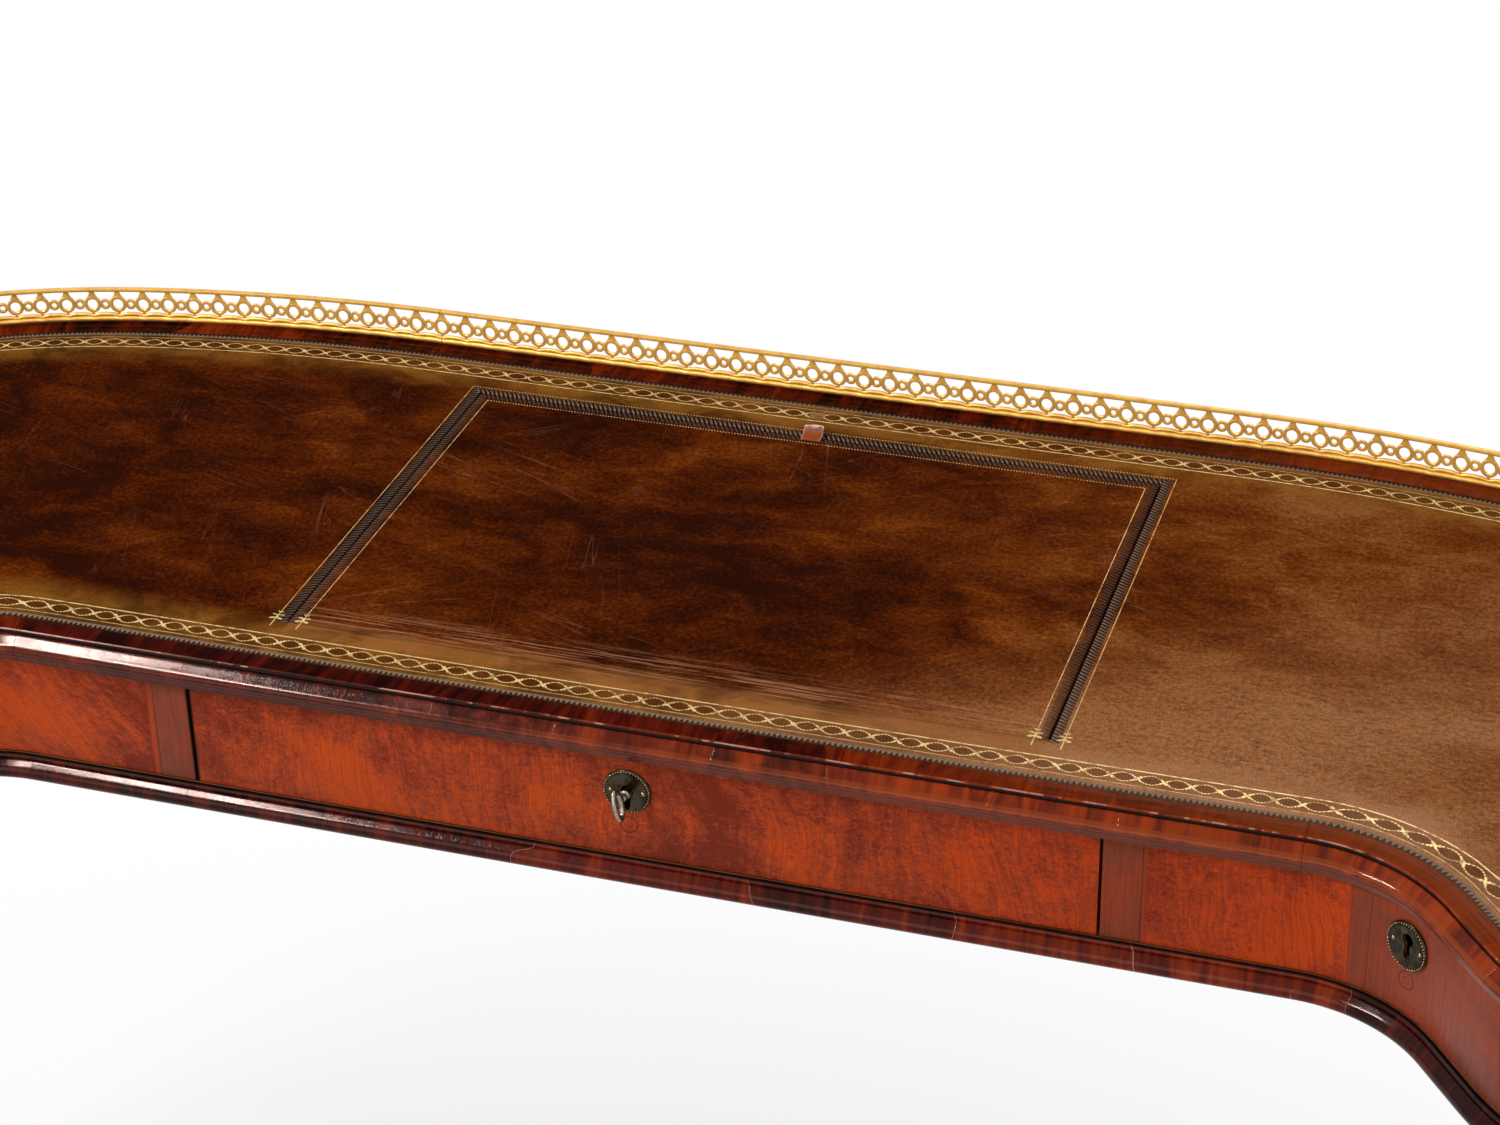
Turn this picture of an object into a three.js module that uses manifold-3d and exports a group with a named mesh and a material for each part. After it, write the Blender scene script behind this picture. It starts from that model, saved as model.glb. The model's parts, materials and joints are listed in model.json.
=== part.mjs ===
// Kidney-shaped mahogany reading table with a rising slope, three frieze drawers and a pierced gallery.
// Millimetres, +Z up, +X to the sitter's right, +Y away from the sitter.
// Origin: on the floor, under the middle of the table.
import * as THREE from 'three';
import { mergeVertices } from 'three/addons/utils/BufferGeometryUtils.js';
import Module from 'manifold-3d';

const wasm = await Module();
wasm.setup();

const degree = Math.PI / 180;

// Driving dimensions of the table
const tableHeight = 740;
const halfWidth = 780;
const bodyDepth = 454.5;
const frontStraightHalf = 404;
const coveRadius = 105;
const coveTurn = 53 * degree;
const coveRun = 45;
const backStraightHalf = 300;
const backTurn = 12.4 * degree;
const shoulderTurn = 11.6 * degree;
const sideTurn = 12 * degree;

// Radii of the back's two curves, as shares of their reach from the straight back to the side
const backRadiusShare = 2.183;
const shoulderRadiusShare = 0.975;

// Top: leather, boards and the crossbanded edge
const leatherThickness = 1.2;
const boardThickness = 20;
const frontBanding = 14;
const rearBanding = 24;
const edgeLip = 3;
const edgeHeight = 21.5;
const edgeProjection = 8.2;

// Frieze, bottom board and lower moulding
const friezeHeight = 72;
const friezeThickness = 20;
const friezeSetback = 0.5;
const bottomBoardThickness = 14;
const lowerMouldingHeight = 17.2;
const lowerMouldingProjection = 8.6;
const partitionThickness = 16;

// Reading slope, its well and its strut
const slopeOpeningHalf = 245;
const slopeOpeningDepth = 324;
const hingeSetback = 58.5;
const slitWidth = 2;
const slopeThickness = 12;
const knuckleRadius = 2.2;
const knuckleGap = 1.7;
const hingePinRadius = 0.9;
const hingeLeafWidth = 40;
const hingeLeafDepth = 15;
const hingeLeafThickness = 1.2;
const hingeSpacingHalf = 150;
const strutThickness = 9;
const strutPivotSetback = 154;
const strutStileWidth = 16;
const strutHalfWidth = 158;
const strutFootWidth = 10;
const strutRailWidth = 14;
const strutPinRadius = 2;
const bracketThickness = 3;
const bracketPlateThickness = 1.7;
const bracketPlateWidth = 12;
const bracketPlateLength = 26;
const rackHeight = 8;
const rackWidth = 14;
const rackSpacingHalf = 120;
const rackPitch = 11.5;
const rackNotchDepth = 4.5;
const rackToothTip = 2;
const rackNotches = 8;
const rackClearance = 1;
const wellWall = 12;
const wellFloorThickness = 6;
const tabWidth = 19;
const tabLength = 22;
const tabThickness = 1.3;
const tabOverhang = 10;
const tabRoundingShare = 0.5;

// Drawers
const drawerGap = 2;
const drawerTopGap = 0.8;
const drawerWall = 9;
const drawerBottom = 6;
const centreDrawerHalf = 289;
const centreDrawerLength = 296;
const centreDrawerSide = 48;
const sideDrawerSide = 60;
const sideDrawerBack = 170;
const drawerSideGap = 1.5;
const drawerEndInset = 9;
const guideThickness = 14;
const guideHeight = 40;
const guideInset = 12;

// Locks, keyhole plates and key
const keyholeDrop = 24;
const lockCaseWidth = 52;
const lockCaseHeight = 50;
const lockCaseDepth = 11;
const lockChamberRadius = 8.5;
const lockChamberDepth = 5;
const keyholeRadius = 3.2;
const keyholeSlotWidth = 3;
const keyholeHeight = 14;
const boltWidth = 22;
const boltThickness = 3;
const boltLength = 12;
const boltMortiseDepth = 8;
const boltMortiseGap = 0.45;
const plateRadius = 15.25;
const plateRim = 2.2;
const plateDish = 0.9;
const platePinRadius = 1.6;
const platePinPlace = 10.4;
const platePinFlatShare = 0.7;
const sideLockTurn = 38 * degree;
const sidePlateStandoff = 1.4;
const keyStemRadius = 2.2;
const keyCollarRadius = 3.1;
const keyReach = 9;
const keyBowLength = 15;
const keyBowHeight = 22;
const keyBowWire = 2.6;
const keyBitReach = 6.5;
const keyBitWidth = 3.6;
const keyBitThickness = 2;

// Gallery
const galleryHeight = 28.5;
const galleryThickness = 3;
const gallerySetback = 5;
const galleryPitch = 19;
const galleryRingHeight = 15.2;
const galleryHoleRadius = 4.6;
const galleryRailHeight = 3;
const galleryFootHeight = 5.6;
const galleryStemWidth = 3;
const galleryLinkHeight = 5.5;

// Legs
const legTopRadius = 29;
const frontLegTurn = 30 * degree;
const frontLegInset = 60;
const rearLegTurn = 16 * degree;
const rearLegInset = 50;

// Fitting clearances
const seatGap = 0.3;
const overrun = 5;

// Tessellation of the outline's stretches and of round pieces
const coveSteps = 6;
const lobeFrontSteps = 4;
const lobeSideSteps = 7;
const sideSteps = 2;
const cornerSteps = 5;
const shoulderSteps = 2;
const backSteps = 3;
const legSides = 10;
const plateSides = 12;
const pinSides = 12;
const domeSides = 6;
const domeRings = 3;
const bowSteps = 12;
const bowWireSides = 5;
const tabSteps = 4;

// Materials
function material(color, roughness, metalness) {
  return new THREE.MeshStandardMaterial({ color, roughness, metalness });
}

const mahogany = material(0x6b2412, 0.25, 0);
const carcaseWood = material(0x7a4a2c, 0.6, 0);
const drawerWood = material(0x8a5a34, 0.6, 0);
const leather = material(0x5a4020, 0.5, 0);
const tabLeather = material(0xa87868, 0.7, 0);
const brass = material(0xc9922e, 0.3, 1);
const bronze = material(0x4a3620, 0.45, 1);
const iron = material(0x3a332b, 0.5, 1);

// Levels above the floor
const topZ = tableHeight;
const boardTopZ = topZ - leatherThickness - seatGap;
const friezeTopZ = topZ - edgeHeight;
const boardBottomZ = boardTopZ - boardThickness;
const friezeBottomZ = friezeTopZ - friezeHeight;
const bottomBoardZ = friezeBottomZ - bottomBoardThickness;
const slopeBottomZ = boardTopZ - slopeThickness;
const strutZ = slopeBottomZ - seatGap - strutThickness / 2;
const hingeAxisZ = topZ - leatherThickness - knuckleRadius;
const rackTopZ = strutZ - strutThickness / 2 - rackClearance;
const wellFloorZ = rackTopZ - rackHeight - seatGap;

// Half of the table's outline, from the middle of the front to the middle of the back.
// Each stretch is a straight line or an arc, and the last two radii of the end are solved so that
// the end meets both the lobe's widest point and the shoulder of the back.
const coveEnd = frontStraightHalf + coveRadius * Math.sin(coveTurn) + coveRun * Math.cos(coveTurn);
const lobeRadius = (halfWidth - coveEnd) / (1 + Math.sin(coveTurn));
const lobeReach = (coveRadius + lobeRadius) * (1 - Math.cos(coveTurn)) + coveRun * Math.sin(coveTurn);
const tableDepth = bodyDepth + lobeReach;
const frontY = lobeReach - tableDepth / 2;
const backY = tableDepth / 2;
const lobeFrontX = coveEnd + lobeRadius * Math.sin(coveTurn);
const backReach = halfWidth - backStraightHalf;
const backRadius = backRadiusShare * backReach;
const shoulderRadius = shoulderRadiusShare * backReach;

function solveEndRadii() {
  const rightAngle = Math.PI / 2;
  const middle = rightAngle + sideTurn;
  const last = Math.PI - backTurn - shoulderTurn;
  const shoulderArc = Math.sin(backTurn + shoulderTurn) - Math.sin(backTurn);
  const shoulderDrop = Math.cos(backTurn) - Math.cos(backTurn + shoulderTurn);
  const shoulderX = backStraightHalf + backRadius * Math.sin(backTurn) + shoulderRadius * shoulderArc;
  const shoulderY = backY - backRadius * (1 - Math.cos(backTurn)) - shoulderRadius * shoulderDrop;
  const dx = shoulderX - halfWidth;
  const dy = shoulderY - (lobeRadius - backY);
  const a = Math.sin(middle) - Math.sin(rightAngle);
  const b = Math.sin(last) - Math.sin(middle);
  const c = Math.cos(rightAngle) - Math.cos(middle);
  const d = Math.cos(middle) - Math.cos(last);
  const determinant = a * d - b * c;
  return [(dx * d - b * dy) / determinant, (a * dy - c * dx) / determinant];
}

const [sideRadius, cornerRadius] = solveEndRadii();
const cornerTurn = Math.PI / 2 - sideTurn - shoulderTurn - backTurn;

const stretches = [
  { name: 'front', length: frontStraightHalf, turn: 0, steps: 1 },
  { name: 'cove', length: coveRadius * coveTurn, turn: -coveTurn, steps: coveSteps },
  { name: 'run', length: coveRun, turn: 0, steps: 1 },
  { name: 'lobeFront', length: lobeRadius * coveTurn, turn: coveTurn, steps: lobeFrontSteps },
  { name: 'lobeSide', length: lobeRadius * Math.PI / 2, turn: Math.PI / 2, steps: lobeSideSteps },
  { name: 'side', length: sideRadius * sideTurn, turn: sideTurn, steps: sideSteps },
  { name: 'corner', length: cornerRadius * cornerTurn, turn: cornerTurn, steps: cornerSteps },
  { name: 'shoulder', length: shoulderRadius * shoulderTurn, turn: shoulderTurn, steps: shoulderSteps },
  { name: 'backArc', length: backRadius * backTurn, turn: backTurn, steps: backSteps },
  { name: 'back', length: backStraightHalf, turn: 0, steps: 1 },
];

const startOf = {};
let outlineLength = 0;
for (const stretch of stretches) {
  stretch.start = outlineLength;
  startOf[stretch.name] = outlineLength;
  outlineLength += stretch.length;
}

// Point, heading and outward normal of the outline at a distance s along it
function outlineAt(s) {
  let x = 0;
  let y = frontY;
  let heading = 0;
  for (const stretch of stretches) {
    const run = Math.min(Math.max(s - stretch.start, 0), stretch.length);
    const turned = stretch.turn * run / stretch.length;
    if (stretch.turn === 0) {
      x += run * Math.cos(heading);
      y += run * Math.sin(heading);
    } else {
      const radius = stretch.length / stretch.turn;
      x += radius * (Math.sin(heading + turned) - Math.sin(heading));
      y -= radius * (Math.cos(heading + turned) - Math.cos(heading));
    }
    heading += turned;
  }
  return { x, y, heading, nx: Math.sin(heading), ny: -Math.cos(heading) };
}

// Distances along the outline at which a piece from s0 to s1 has its sections
function stationsBetween(s0, s1) {
  const stations = [s0];
  for (const stretch of stretches) {
    for (let i = 0; i <= stretch.steps; i += 1) {
      const s = stretch.start + stretch.length * i / stretch.steps;
      if (s > stations[stations.length - 1] + seatGap && s < s1 - seatGap) stations.push(s);
    }
  }
  stations.push(s1);
  return stations;
}

// Width of the crossbanding at a point: narrow along the front, wider where the gallery stands
function bandingAt(point) {
  const share = THREE.MathUtils.smoothstep(point.heading, Math.PI / 2, Math.PI - backTurn - shoulderTurn);
  return frontBanding + (rearBanding - frontBanding) * share;
}

// Closed plan of the whole table, moved inwards by an inset that may change along the outline
function planPoints(insetAt) {
  const right = stationsBetween(0, outlineLength).map((s) => {
    const point = outlineAt(s);
    const inset = insetAt(point);
    return new THREE.Vector2(point.x - point.nx * inset, point.y - point.ny * inset);
  });
  const left = right.slice(1, -1).reverse().map((point) => new THREE.Vector2(-point.x, point.y));
  return [...right, ...left];
}

// Geometry helpers
function welded(geometry) {
  const plain = geometry.clone();
  plain.deleteAttribute('normal');
  plain.deleteAttribute('uv');
  return mergeVertices(plain);
}

function toSolid(geometry) {
  const plain = welded(geometry);
  return new wasm.Manifold(new wasm.Mesh({
    numProp: 3,
    vertProperties: new Float32Array(plain.attributes.position.array),
    triVerts: new Uint32Array(plain.index.array),
  }));
}

function fromSolid(solid) {
  const mesh = solid.getMesh();
  const geometry = new THREE.BufferGeometry();
  geometry.setAttribute('position', new THREE.BufferAttribute(new Float32Array(mesh.vertProperties), 3));
  geometry.setIndex(new THREE.BufferAttribute(new Uint32Array(mesh.triVerts), 1));
  return geometry;
}

function join(...geometries) {
  return fromSolid(geometries.map(toSolid).reduce((sum, solid) => sum.add(solid)));
}

function cut(geometry, ...cutters) {
  return fromSolid(cutters.map(toSolid).reduce((rest, solid) => rest.subtract(solid), toSolid(geometry)));
}

function common(geometry, other) {
  return fromSolid(toSolid(geometry).intersect(toSolid(other)));
}

function block([x0, x1], [y0, y1], [z0, z1]) {
  return new THREE.BoxGeometry(x1 - x0, y1 - y0, z1 - z0)
    .translate((x0 + x1) / 2, (y0 + y1) / 2, (z0 + z1) / 2);
}

function prism(points, z0, z1, holes = []) {
  const shape = new THREE.Shape(points);
  shape.holes.push(...holes.map((hole) => new THREE.Path(hole)));
  return new THREE.ExtrudeGeometry(shape, { depth: z1 - z0, bevelEnabled: false }).translate(0, 0, z0);
}

function rectangle(x0, x1, y0, y1) {
  return [[x0, y0], [x1, y0], [x1, y1], [x0, y1]].map(([x, y]) => new THREE.Vector2(x, y));
}

// Round bar along X, from x0 to x1, about the line through (y, z)
function barX(radius, x0, x1, y, z, sides = pinSides) {
  return new THREE.CylinderGeometry(radius, radius, x1 - x0, sides)
    .rotateZ(Math.PI / 2).translate((x0 + x1) / 2, y, z);
}

// Side profile [y, z] extruded along X
function profileX(points, x0, x1) {
  const shape = new THREE.Shape(points.map(([y, z]) => new THREE.Vector2(y, z)));
  return new THREE.ExtrudeGeometry(shape, { depth: x1 - x0, bevelEnabled: false })
    .rotateX(Math.PI / 2).rotateZ(Math.PI / 2).translate(x0, 0, 0);
}

// A closed profile [outward, up] carried along the outline from s0 to s1, with flat ends
function sweep(s0, s1, profileAt, baseZ) {
  const flat = (point) => profileAt(point).map(([out, up]) => new THREE.Vector2(out, up));
  const clockwise = THREE.ShapeUtils.isClockWise(flat(outlineAt(s0)));
  const ordered = (point) => (clockwise ? flat(point).reverse() : flat(point));
  const sections = stationsBetween(s0, s1).map((s) => {
    const point = outlineAt(s);
    return ordered(point).map((v) => [point.x + point.nx * v.x, point.y + point.ny * v.x, baseZ + v.y]);
  });
  const count = sections[0].length;
  const last = (sections.length - 1) * count;
  const triangles = [];
  for (let i = 0; i < sections.length - 1; i += 1) {
    for (let j = 0; j < count; j += 1) {
      const a = i * count + j;
      const b = i * count + (j + 1) % count;
      triangles.push(a, b, a + count, b, b + count, a + count);
    }
  }
  for (const [a, b, c] of THREE.ShapeUtils.triangulateShape(ordered(outlineAt(s0)), [])) {
    triangles.push(a, c, b, last + a, last + b, last + c);
  }
  const geometry = new THREE.BufferGeometry();
  geometry.setAttribute('position', new THREE.Float32BufferAttribute(sections.flat(2), 3));
  geometry.setIndex(triangles);
  return facingOut(geometry);
}

function facingOut(geometry) {
  const position = geometry.attributes.position;
  const index = geometry.index.array;
  const corner = (i) => new THREE.Vector3().fromBufferAttribute(position, i);
  let volume = 0;
  for (let i = 0; i < index.length; i += 3) {
    volume += corner(index[i]).dot(corner(index[i + 1]).cross(corner(index[i + 2])));
  }
  if (volume < 0) geometry.setIndex(turnedOver(index));
  return geometry;
}

function turnedOver(index) {
  const turned = Array.from(index);
  for (let i = 0; i < turned.length; i += 3) [turned[i], turned[i + 1]] = [turned[i + 1], turned[i]];
  return turned;
}

// The same geometry on the sitter's left: side is 1 for the right and -1 for the left
function onSide(side, geometry) {
  if (side > 0) return geometry;
  const mirrored = welded(geometry);
  mirrored.scale(-1, 1, 1);
  mirrored.setIndex(turnedOver(mirrored.index.array));
  return mirrored;
}

const table = new THREE.Group();
table.name = 'reading_table';

function addPiece(name, geometry, finish, parent = table) {
  const mesh = new THREE.Mesh(welded(geometry), finish);
  mesh.name = name;
  mesh.geometry.computeVertexNormals();
  parent.add(mesh);
  return mesh;
}

const sides = [['left', -1], ['right', 1]];

// Places that several pieces share
const hingeY = frontY + hingeSetback;
const slopeRearY = hingeY + slopeOpeningDepth;
const friezeInnerY = frontY + friezeSetback + friezeThickness;
const backInnerY = backY - friezeSetback - friezeThickness;
const lockZ = friezeTopZ - keyholeDrop;
const farOut = 2 * halfWidth;

// Lock frames: origin on the frieze face at the keyhole, +X along the face, +Y into the wood
function lockFrame(side) {
  if (side === 0) return new THREE.Matrix4().makeTranslation(0, frontY + friezeSetback, lockZ);
  const s = startOf.cove + coveRadius * sideLockTurn;
  const point = outlineAt(s);
  const frame = new THREE.Matrix4().makeRotationZ(side * point.heading);
  const x = side * (point.x - point.nx * friezeSetback);
  return frame.setPosition(x, point.y - point.ny * friezeSetback, lockZ);
}

// Lock parts in their own frame
const frontTopZ = friezeTopZ - drawerTopGap - lockZ;
const caseBackY = friezeThickness;
const caseFrontY = friezeThickness - lockCaseDepth;
const boltFrontY = caseFrontY + lockChamberDepth + seatGap;
const caseBottomZ = frontTopZ - lockCaseHeight;

function keyholeCutter(y0, y1) {
  const round = new THREE.CylinderGeometry(keyholeRadius, keyholeRadius, y1 - y0, pinSides)
    .translate(0, (y0 + y1) / 2, 0);
  const slotHalf = keyholeSlotWidth / 2;
  const slot = block([-slotHalf, slotHalf], [y0, y1], [keyholeRadius - keyholeHeight, 0]);
  return join(round, slot);
}

function lockPocketCutters() {
  const half = lockCaseWidth / 2 + seatGap;
  const pocket = block([-half, half], [caseFrontY - seatGap, caseBackY + overrun],
    [caseBottomZ - seatGap, frontTopZ + overrun]);
  return [pocket, keyholeCutter(-overrun, caseFrontY)];
}

function lockCase() {
  const half = lockCaseWidth / 2;
  const body = block([-half, half], [caseFrontY, caseBackY], [caseBottomZ, frontTopZ]);
  const chamber = new THREE.CylinderGeometry(lockChamberRadius, lockChamberRadius,
    lockChamberDepth + overrun, pinSides)
    .translate(0, caseFrontY + (lockChamberDepth - overrun) / 2, 0);
  const slotHalf = boltWidth / 2 + seatGap;
  const slot = block([-slotHalf, slotHalf], [boltFrontY - seatGap, boltFrontY + boltThickness + seatGap],
    [frontTopZ - boltLength - seatGap, frontTopZ + overrun]);
  return cut(body, chamber, slot);
}

function lockBolt() {
  const half = boltWidth / 2;
  return block([-half, half], [boltFrontY, boltFrontY + boltThickness],
    [frontTopZ - boltLength, frontTopZ - seatGap]);
}

function boltMortise() {
  const half = boltWidth / 2 + boltMortiseGap;
  const z0 = boardBottomZ - lockZ;
  return block([-half, half], [boltFrontY - seatGap, boltFrontY + boltThickness + seatGap],
    [z0 - overrun, z0 + boltMortiseDepth]);
}

// Dished round plate with a raised rim, a keyhole and two domed pins.
// The shares are of the plate's radius: the two edges of the rim's crest and the edge of the dish.
const [crestOuterShare, crestInnerShare, dishShare] = [0.96, 0.86, 0.8];

function keyholePlate(standoff) {
  const profile = [
    [0, 0], [plateRadius, 0], [plateRadius, plateRim / 2], [plateRadius * crestOuterShare, plateRim],
    [plateRadius * crestInnerShare, plateRim], [plateRadius * dishShare, plateDish], [0, plateDish],
  ].map(([r, h]) => new THREE.Vector2(r, h));
  const disc = new THREE.LatheGeometry(profile, plateSides).rotateX(Math.PI);
  const pins = [-1, 1].map((side) => new THREE.SphereGeometry(platePinRadius, domeSides, domeRings)
    .scale(1, platePinFlatShare, 1).translate(side * platePinPlace, -plateDish - seatGap, 0));
  return cut(join(disc, ...pins), keyholeCutter(-overrun, overrun)).translate(0, -standoff, 0);
}

function key() {
  const tip = caseFrontY + lockChamberDepth - seatGap;
  const stemEnd = -keyReach - keyBowWire / 2;
  const stem = new THREE.CylinderGeometry(keyStemRadius, keyStemRadius, tip - stemEnd, pinSides)
    .translate(0, (tip + stemEnd) / 2, 0);
  const collar = new THREE.CylinderGeometry(keyCollarRadius, keyCollarRadius, keyBowWire, pinSides)
    .translate(0, -plateRim - keyBowWire, 0);
  const bit = block([-keyBitThickness / 2, keyBitThickness / 2], [tip - keyBitWidth, tip], [-keyBitReach, 0]);
  const bowRadius = (keyBowHeight - keyBowWire) / 2;
  const bow = new THREE.TorusGeometry(bowRadius, keyBowWire / 2, bowWireSides, bowSteps)
    .rotateY(Math.PI / 2).scale(1, keyBowLength / keyBowHeight, 1)
    .translate(0, -keyReach - keyBowLength / 2, 0);
  return join(stem, collar, bit, bow);
}

function placed(geometry, frame) {
  return welded(geometry).applyMatrix4(frame);
}

// Top boards round the slope's opening
const boardInset = () => edgeLip + seatGap;
const wholeBoard = prism(planPoints(boardInset), boardBottomZ, boardTopZ);
const boardLevels = [boardBottomZ - overrun, boardTopZ + overrun];
const innerHalf = slopeOpeningHalf - seatGap;
const innerWidth = [-innerHalf, innerHalf];
const frontBoard = common(wholeBoard, block(innerWidth, [-farOut, hingeY - knuckleGap], boardLevels));
const rearBoard = common(wholeBoard, block(innerWidth, [slopeRearY, farOut], boardLevels));

// Pocket for one hinge leaf; toBack is 1 for the slope's leaf and -1 for the fixed one
function leafPocket(x, toBack) {
  const halfLeaf = hingeLeafWidth / 2 + seatGap;
  const deep = [hingeY, hingeY + toBack * (hingeLeafDepth + seatGap)].sort((a, b) => a - b);
  const pocket = block([x - halfLeaf, x + halfLeaf], deep,
    [boardTopZ - hingeLeafThickness - seatGap, boardTopZ + overrun]);
  const knuckle = barX(knuckleRadius + seatGap, x - halfLeaf, x + halfLeaf, hingeY, hingeAxisZ);
  return join(pocket, knuckle);
}

const hingePlaces = sides.map(([, side]) => side * hingeSpacingHalf);
const boardFront = cut(frontBoard, placed(boltMortise(), lockFrame(0)),
  ...hingePlaces.map((x) => leafPocket(x, -1)));
addPiece('top_board_front', boardFront, carcaseWood);
addPiece('top_board_rear', rearBoard, carcaseWood);
for (const [label, side] of sides) {
  const half = common(wholeBoard, block([slopeOpeningHalf, farOut], [-farOut, farOut], boardLevels));
  addPiece(`top_board_${label}`, cut(onSide(side, half), placed(boltMortise(), lockFrame(side))), carcaseWood);
}

// Leather field with the cut-out for the slope
const leatherHole = rectangle(-slopeOpeningHalf, slopeOpeningHalf, hingeY - knuckleGap, slopeRearY);
const leatherPlan = planPoints((point) => bandingAt(point) + seatGap);
addPiece('leather_field', prism(leatherPlan, topZ - leatherThickness, topZ, [leatherHole]), leather);

// Crossbanded edge: a flat band, a quirk, a rounded moulding and a fillet that stands on the frieze.
// The shares are of the moulding's projection, outwards, and of its height, downwards.
const edgeShares = [
  [0, 0], [-0.15, 0.15], [0.44, 0.21], [0.88, 0.36], [1, 0.53], [0.86, 0.67], [0.56, 0.72], [0.4, 1],
];

function edgeProfile(point) {
  const inner = -bandingAt(point);
  return [
    [inner, 0],
    ...edgeShares.map(([out, down]) => [out * edgeProjection, -down * edgeHeight]),
    [-edgeLip, -edgeHeight], [-edgeLip, -leatherThickness], [inner, -leatherThickness],
  ];
}

// Lower moulding: a small fillet, a quirk and a half round, as shares of its projection and height
const lowerShares = [[0.26, 0], [0.3, 0.2], [0.78, 0.26], [1, 0.5], [0.92, 0.75], [0.4, 0.97]];

function lowerProfile() {
  const inner = seatGap - friezeSetback;
  return [
    [inner, 0],
    ...lowerShares.map(([out, down]) => [out * lowerMouldingProjection, -down * lowerMouldingHeight]),
    [inner, -lowerMouldingHeight],
  ];
}

function addMouldings(name, profileAt, baseZ) {
  const frontEnd = startOf.cove - seatGap / 2;
  const backEnd = startOf.back + seatGap / 2;
  const front = sweep(0, frontEnd, profileAt, baseZ);
  const back = sweep(backEnd, outlineLength, profileAt, baseZ);
  addPiece(`${name}_front`, join(front, onSide(-1, front)), mahogany);
  addPiece(`${name}_back`, join(back, onSide(-1, back)), mahogany);
  for (const [label, side] of sides) {
    const end = sweep(frontEnd + seatGap, backEnd - seatGap, profileAt, baseZ);
    addPiece(`${name}_${label}`, onSide(side, end), mahogany);
  }
}

addMouldings('top_edge', edgeProfile, topZ);
addMouldings('lower_moulding', lowerProfile, friezeBottomZ);

// Bottom board, frieze and partitions
addPiece('bottom_board', prism(planPoints(() => friezeSetback), bottomBoardZ, friezeBottomZ), carcaseWood);

function friezeProfile(bottomGap, topGap) {
  const outer = -friezeSetback;
  const inner = outer - friezeThickness;
  return () => [[inner, bottomGap], [outer, bottomGap], [outer, friezeHeight - topGap],
    [inner, friezeHeight - topGap]];
}

const fixedFrieze = friezeProfile(seatGap, seatGap);
const drawerFrieze = friezeProfile(drawerTopGap, drawerTopGap);
const backFrieze = sweep(startOf.back + seatGap / 2, outlineLength, fixedFrieze, friezeBottomZ);
addPiece('back_frieze', join(backFrieze, onSide(-1, backFrieze)), mahogany);

const fixedLevels = [friezeBottomZ + seatGap, friezeTopZ - seatGap];
for (const [label, side] of sides) {
  const end = sweep(startOf.lobeSide + drawerGap, startOf.back - seatGap / 2, fixedFrieze, friezeBottomZ);
  addPiece(`${label}_end_frieze`, onSide(side, end), mahogany);
  const partition = block(
    [centreDrawerHalf - partitionThickness / 2, centreDrawerHalf + partitionThickness / 2],
    [friezeInnerY + seatGap, backInnerY - seatGap], fixedLevels);
  addPiece(`partition_${label}`, onSide(side, partition), carcaseWood);
}

// Drawer fronts
const drawerLevels = [friezeBottomZ + drawerTopGap, friezeTopZ - drawerTopGap];
const centreFrontHalf = centreDrawerHalf - drawerGap / 2;
const centreFront = block(
  [-centreFrontHalf, centreFrontHalf], [frontY + friezeSetback, friezeInnerY], drawerLevels);
addPiece('centre_drawer_front',
  cut(centreFront, ...lockPocketCutters().map((cutter) => placed(cutter, lockFrame(0)))), mahogany);

const sideFrontStart = centreDrawerHalf + drawerGap / 2;
for (const [label, side] of sides) {
  const front = onSide(side, sweep(sideFrontStart, startOf.lobeSide, drawerFrieze, friezeBottomZ));
  addPiece(`${label}_drawer_front`,
    cut(front, ...lockPocketCutters().map((cutter) => placed(cutter, lockFrame(side)))), mahogany);
}

// Drawer boxes: bottom, two sides and a back in one glued piece, open to the front board
function drawerBox(frontEdge, [x0, x1], backAt, wallTop) {
  const boxBottom = friezeBottomZ + seatGap;
  const outerPlan = [...frontEdge, new THREE.Vector2(frontEdge.at(-1).x, backAt),
    new THREE.Vector2(frontEdge[0].x, backAt)];
  const length = block([x0, x1], [-farOut, farOut], [0, tableHeight]);
  const blank = common(prism(outerPlan, boxBottom, wallTop), length);
  const hollow = block([x0 + drawerWall, x1 - drawerWall], [-farOut, backAt - drawerWall],
    [boxBottom + drawerBottom, wallTop + overrun]);
  return cut(blank, hollow);
}

const boxFrontY = friezeInnerY + seatGap;
const centreBoxHalf = centreDrawerHalf - partitionThickness / 2 - drawerSideGap;
const centreEdge = [new THREE.Vector2(-centreBoxHalf, boxFrontY), new THREE.Vector2(centreBoxHalf, boxFrontY)];
addPiece('centre_drawer_box',
  drawerBox(centreEdge, [-centreBoxHalf, centreBoxHalf], boxFrontY + centreDrawerLength,
    friezeBottomZ + centreDrawerSide), drawerWood);

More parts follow.
